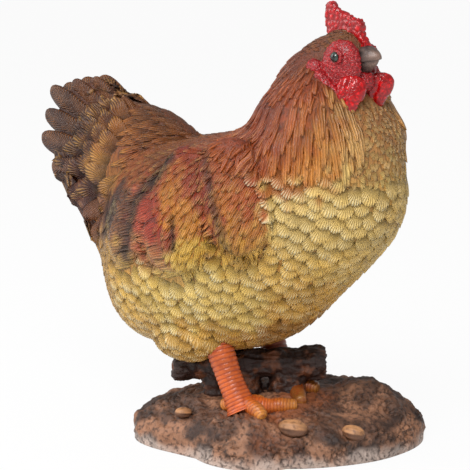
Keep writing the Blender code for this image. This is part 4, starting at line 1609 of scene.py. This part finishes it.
@dataclass(frozen=True)
class Legs:
    """The two scaly legs and their feet."""

    form: HenForm
    base: RockBase
    radius: float = 8.0
    scutes: int = 19
    toe_radius: float = 4.8
    toes: tuple[Toe, ...] = (Toe(46.0, 33.0), Toe(-12.0, 18.0), Toe(84.0, 18.0), Toe(176.0, 15.0))

    def build(self) -> None:
        """Builds each leg with its foot as one piece."""
        for side, name in ((-1, "leg_right"), (1, "leg_left")):
            bm = bmesh.new()
            layer = bm.verts.layers.float_color.new(PAINT)
            marks = self.add_shank(bm, side)
            for toe in self.toes:
                marks.update(self.add_toe(bm, side, toe))
            for vert, colour in marks.items():
                # Painted shade: the left leg, on the far side, is painted darker.
                vert[layer] = (*(part * (0.6 if side > 0 else 1.0) for part in colour), 1.0)
            bmesh.ops.holes_fill(bm, edges=[edge for edge in bm.edges if edge.is_boundary], sides=0)
            finish = PaintedFinish(name + "_paint", "8a2c12", 260.0, 0.4, 900.0, 0.0003, 0.38, 0.15)
            show(finished_mesh(bm, name), name, finish.material())

    def paint(self, groove: float, share: float, tip: float) -> Colour:
        """Orange with dark red lines between the scales, and yellower towards a toe's tip.

        Args:
            groove: Depth of the line, from 0 to 1.
            share: Share of the length.
            tip: How yellow the end is.

        Returns:
            A linear colour.
        """
        orange, dark, yellow = linear("c65a1c"), linear("7a200c"), linear("d0903c")
        warm = [o + (y - o) * tip * share**2 for o, y in zip(orange, yellow)]
        return tuple(w + (d - w) * 0.85 * groove for w, d in zip(warm, dark))

    def add_shank(self, bm: bmesh.types.BMesh, side: int) -> dict[bmesh.types.BMVert, Colour]:
        """Adds a leg with slanting scutes across its front.

        Args:
            bm: The mesh to add to.
            side: -1 for the right leg, 1 for the left.

        Returns:
            The paint of each vertex.
        """
        form = self.form
        top = Vector((form.leg_top_x, side * form.leg_spread, form.belly + 10.0))
        foot = Vector((form.leg_top_x + form.leg_lean, side * form.leg_spread, form.ground - 2.0))
        middle = top.lerp(foot, 0.55) + Vector((-1.2, 0.0, 0.0))

        def line(share: float, angle: float) -> float:
            """Depth of the line between two scutes."""
            phase = share * self.scutes + 0.32 * math.sin(angle - side * 0.6)
            return max(0.0, 1.0 - abs((phase % 1.0) - 0.5) / 0.24)

        def girth(share: float, angle: float) -> float:
            """The leg's radius, with its scutes."""
            swell = 1.12 - 0.3 * math.sin(share * math.pi) ** 2 * 0.5 + 0.2 * ease(0.86, 1.0, share)
            return self.radius * swell * (1.0 - 0.045 * line(share, angle))

        places = add_rod(bm, [top, middle, foot], girth, 130, 40)
        return {vert: self.paint(0.8 * line(*at), 0.0, 0.0) for vert, at in places.items()}

    def add_toe(self, bm: bmesh.types.BMesh, side: int, toe: Toe) -> dict[bmesh.types.BMVert, Colour]:
        """Adds a toe that lies on the soil, ribbed across and blunt at its tip.

        Args:
            bm: The mesh to add to.
            side: -1 for the right foot, 1 for the left.
            toe: Its direction and length.

        Returns:
            The paint of each vertex.
        """
        form = self.form
        heading = math.radians(-side * toe.turn)
        path = []
        for share in (0.0, 0.35, 0.7, 1.0):
            x = form.leg_top_x + form.leg_lean + math.cos(heading) * toe.length * share
            y = side * form.leg_spread + math.sin(heading) * toe.length * share
            path.append(Vector((x, y, self.base.height(x, y) + self.toe_radius * (0.62 - 0.3 * share))))

        def line(share: float, angle: float) -> float:
            """Depth of the line between two ribs."""
            phase = share * toe.length / 1.9 + 0.6 * math.sin(angle)
            return max(0.0, 1.0 - abs((phase % 1.0) - 0.5) / 0.25)

        def girth(share: float, angle: float) -> float:
            """The toe's radius, with its ribs and knuckles."""
            blunt = math.sqrt(max(0.0, 1.0 - max(0.0, (share - 0.86) / 0.14) ** 2))
            knuckle = 1.0 + 0.07 * math.cos(share * toe.length / 11.0 * math.tau)
            return self.toe_radius * (1.18 - 0.38 * share) * blunt * knuckle * (1.0 - 0.08 * line(share, angle))

        places = add_rod(bm, path, girth, 80, 32)
        return {vert: self.paint(0.7 * line(*at), at[0], 0.9) for vert, at in places.items()}


# Studio


@dataclass(frozen=True)
class Studio:
    """A pale floor, soft light from above and the photograph's camera."""

    azimuth: float = 35.0
    elevation: float = 12.0
    distance: float = 1.4
    lens: float = 178.7
    target: tuple[float, float, float] = (MM * STAND.x, MM * STAND.y, 0.128)
    key_watts: float = 15.0
    fill_watts: float = 6.0
    world_strength: float = 0.42
    floor_glow: float = 0.93

    def back(self) -> Vector:
        """Direction from the hen to the camera."""
        a, e = math.radians(self.azimuth), math.radians(self.elevation)
        return Vector((math.sin(a) * math.cos(e), -math.cos(a) * math.cos(e), math.sin(e)))

    def add_camera(self) -> None:
        """Adds the camera."""
        camera = bpy.data.objects.new("camera", bpy.data.cameras.new("camera"))
        bpy.context.scene.collection.objects.link(camera)
        camera.data.lens = self.lens
        camera.data.sensor_width = 36.0
        camera.location = Vector(self.target) + self.back() * self.distance
        camera.rotation_mode = "QUATERNION"
        camera.rotation_quaternion = (-self.back()).to_track_quat("-Z", "Y")
        bpy.context.scene.camera = camera

    def add_lamp(self, name: str, offset: Sequence[float], size: float, watts: float) -> None:
        """Adds a soft lamp that points at the hen.

        Args:
            name: The lamp's name.
            offset: Its place from the hen.
            size: The side of its square face.
            watts: Its power.
        """
        lamp = bpy.data.objects.new(name, bpy.data.lights.new(name, "AREA"))
        bpy.context.scene.collection.objects.link(lamp)
        lamp.data.energy = watts
        lamp.data.size = size
        lamp.location = Vector(self.target) + Vector(offset)
        lamp.rotation_mode = "QUATERNION"
        lamp.rotation_quaternion = (-Vector(offset)).to_track_quat("-Z", "Y")

    def add_floor(self) -> None:
        """Adds a plain white floor that still takes the hen's shadow."""
        bm = bmesh.new()
        bmesh.ops.create_grid(bm, x_segments=1, y_segments=1, size=30.0)
        mesh = bpy.data.meshes.new("floor")
        bm.to_mesh(mesh)
        bm.free()
        floor = bpy.data.objects.new("floor", mesh)
        bpy.context.scene.collection.objects.link(floor)
        tree = Tree("floor_white")
        tree.shader.inputs["Base Color"].default_value = (0.86, 0.86, 0.86, 1.0)
        tree.shader.inputs["Roughness"].default_value = 0.9
        rays = tree.add("LightPath").outputs
        seen = tree.maths("MAXIMUM", rays["Is Camera Ray"], rays["Is Glossy Ray"])
        glow = tree.add("Emission", {"Color": (1.0, 1.0, 1.0, 1.0), "Strength": 1.0})
        share = tree.maths("MULTIPLY", seen, self.floor_glow)
        blend = tree.add("MixShader", {0: share, 1: tree.shader.outputs[0], 2: glow.outputs[0]})
        tree.links.new(blend.outputs[0], tree.nodes["Material Output"].inputs["Surface"])
        mesh.materials.append(tree.material)

    def add_world(self) -> None:
        """Fills the room with even light, and shows white behind the hen."""
        world = bpy.data.worlds.new("room")
        bpy.context.scene.world = world
        world.use_nodes = True
        nodes, links = world.node_tree.nodes, world.node_tree.links
        room = nodes["Background"]
        room.inputs["Color"].default_value = (1.0, 1.0, 1.0, 1.0)
        room.inputs["Strength"].default_value = self.world_strength
        white = nodes.new("ShaderNodeBackground")
        white.inputs["Color"].default_value = (1.0, 1.0, 1.0, 1.0)
        rays = nodes.new("ShaderNodeLightPath")
        mix = nodes.new("ShaderNodeMixShader")
        links.new(rays.outputs["Is Camera Ray"], mix.inputs[0])
        links.new(room.outputs[0], mix.inputs[1])
        links.new(white.outputs[0], mix.inputs[2])
        links.new(mix.outputs[0], nodes["World Output"].inputs["Surface"])

    def build(self) -> None:
        """Builds the whole studio."""
        self.add_camera()
        self.add_floor()
        self.add_world()
        self.add_lamp("key", (0.35, -0.9, 0.95), 0.6, self.key_watts)
        self.add_lamp("fill", (-0.9, -0.5, 0.5), 0.8, self.fill_watts)
        bpy.context.scene.view_settings.view_transform = "Standard"


def main() -> None:
    """Builds the figurine and the studio."""
    logging.basicConfig(level=logging.INFO, format="%(name)s: %(message)s")
    form = HenForm()
    palette = Palette()
    base = RockBase(form)
    Plumage(form, palette).build()
    TailFan(form, palette).build()
    Head(form).build()
    Legs(form, base).build()
    base.build()
    Studio().build()


if __name__ == "__main__":
    main()
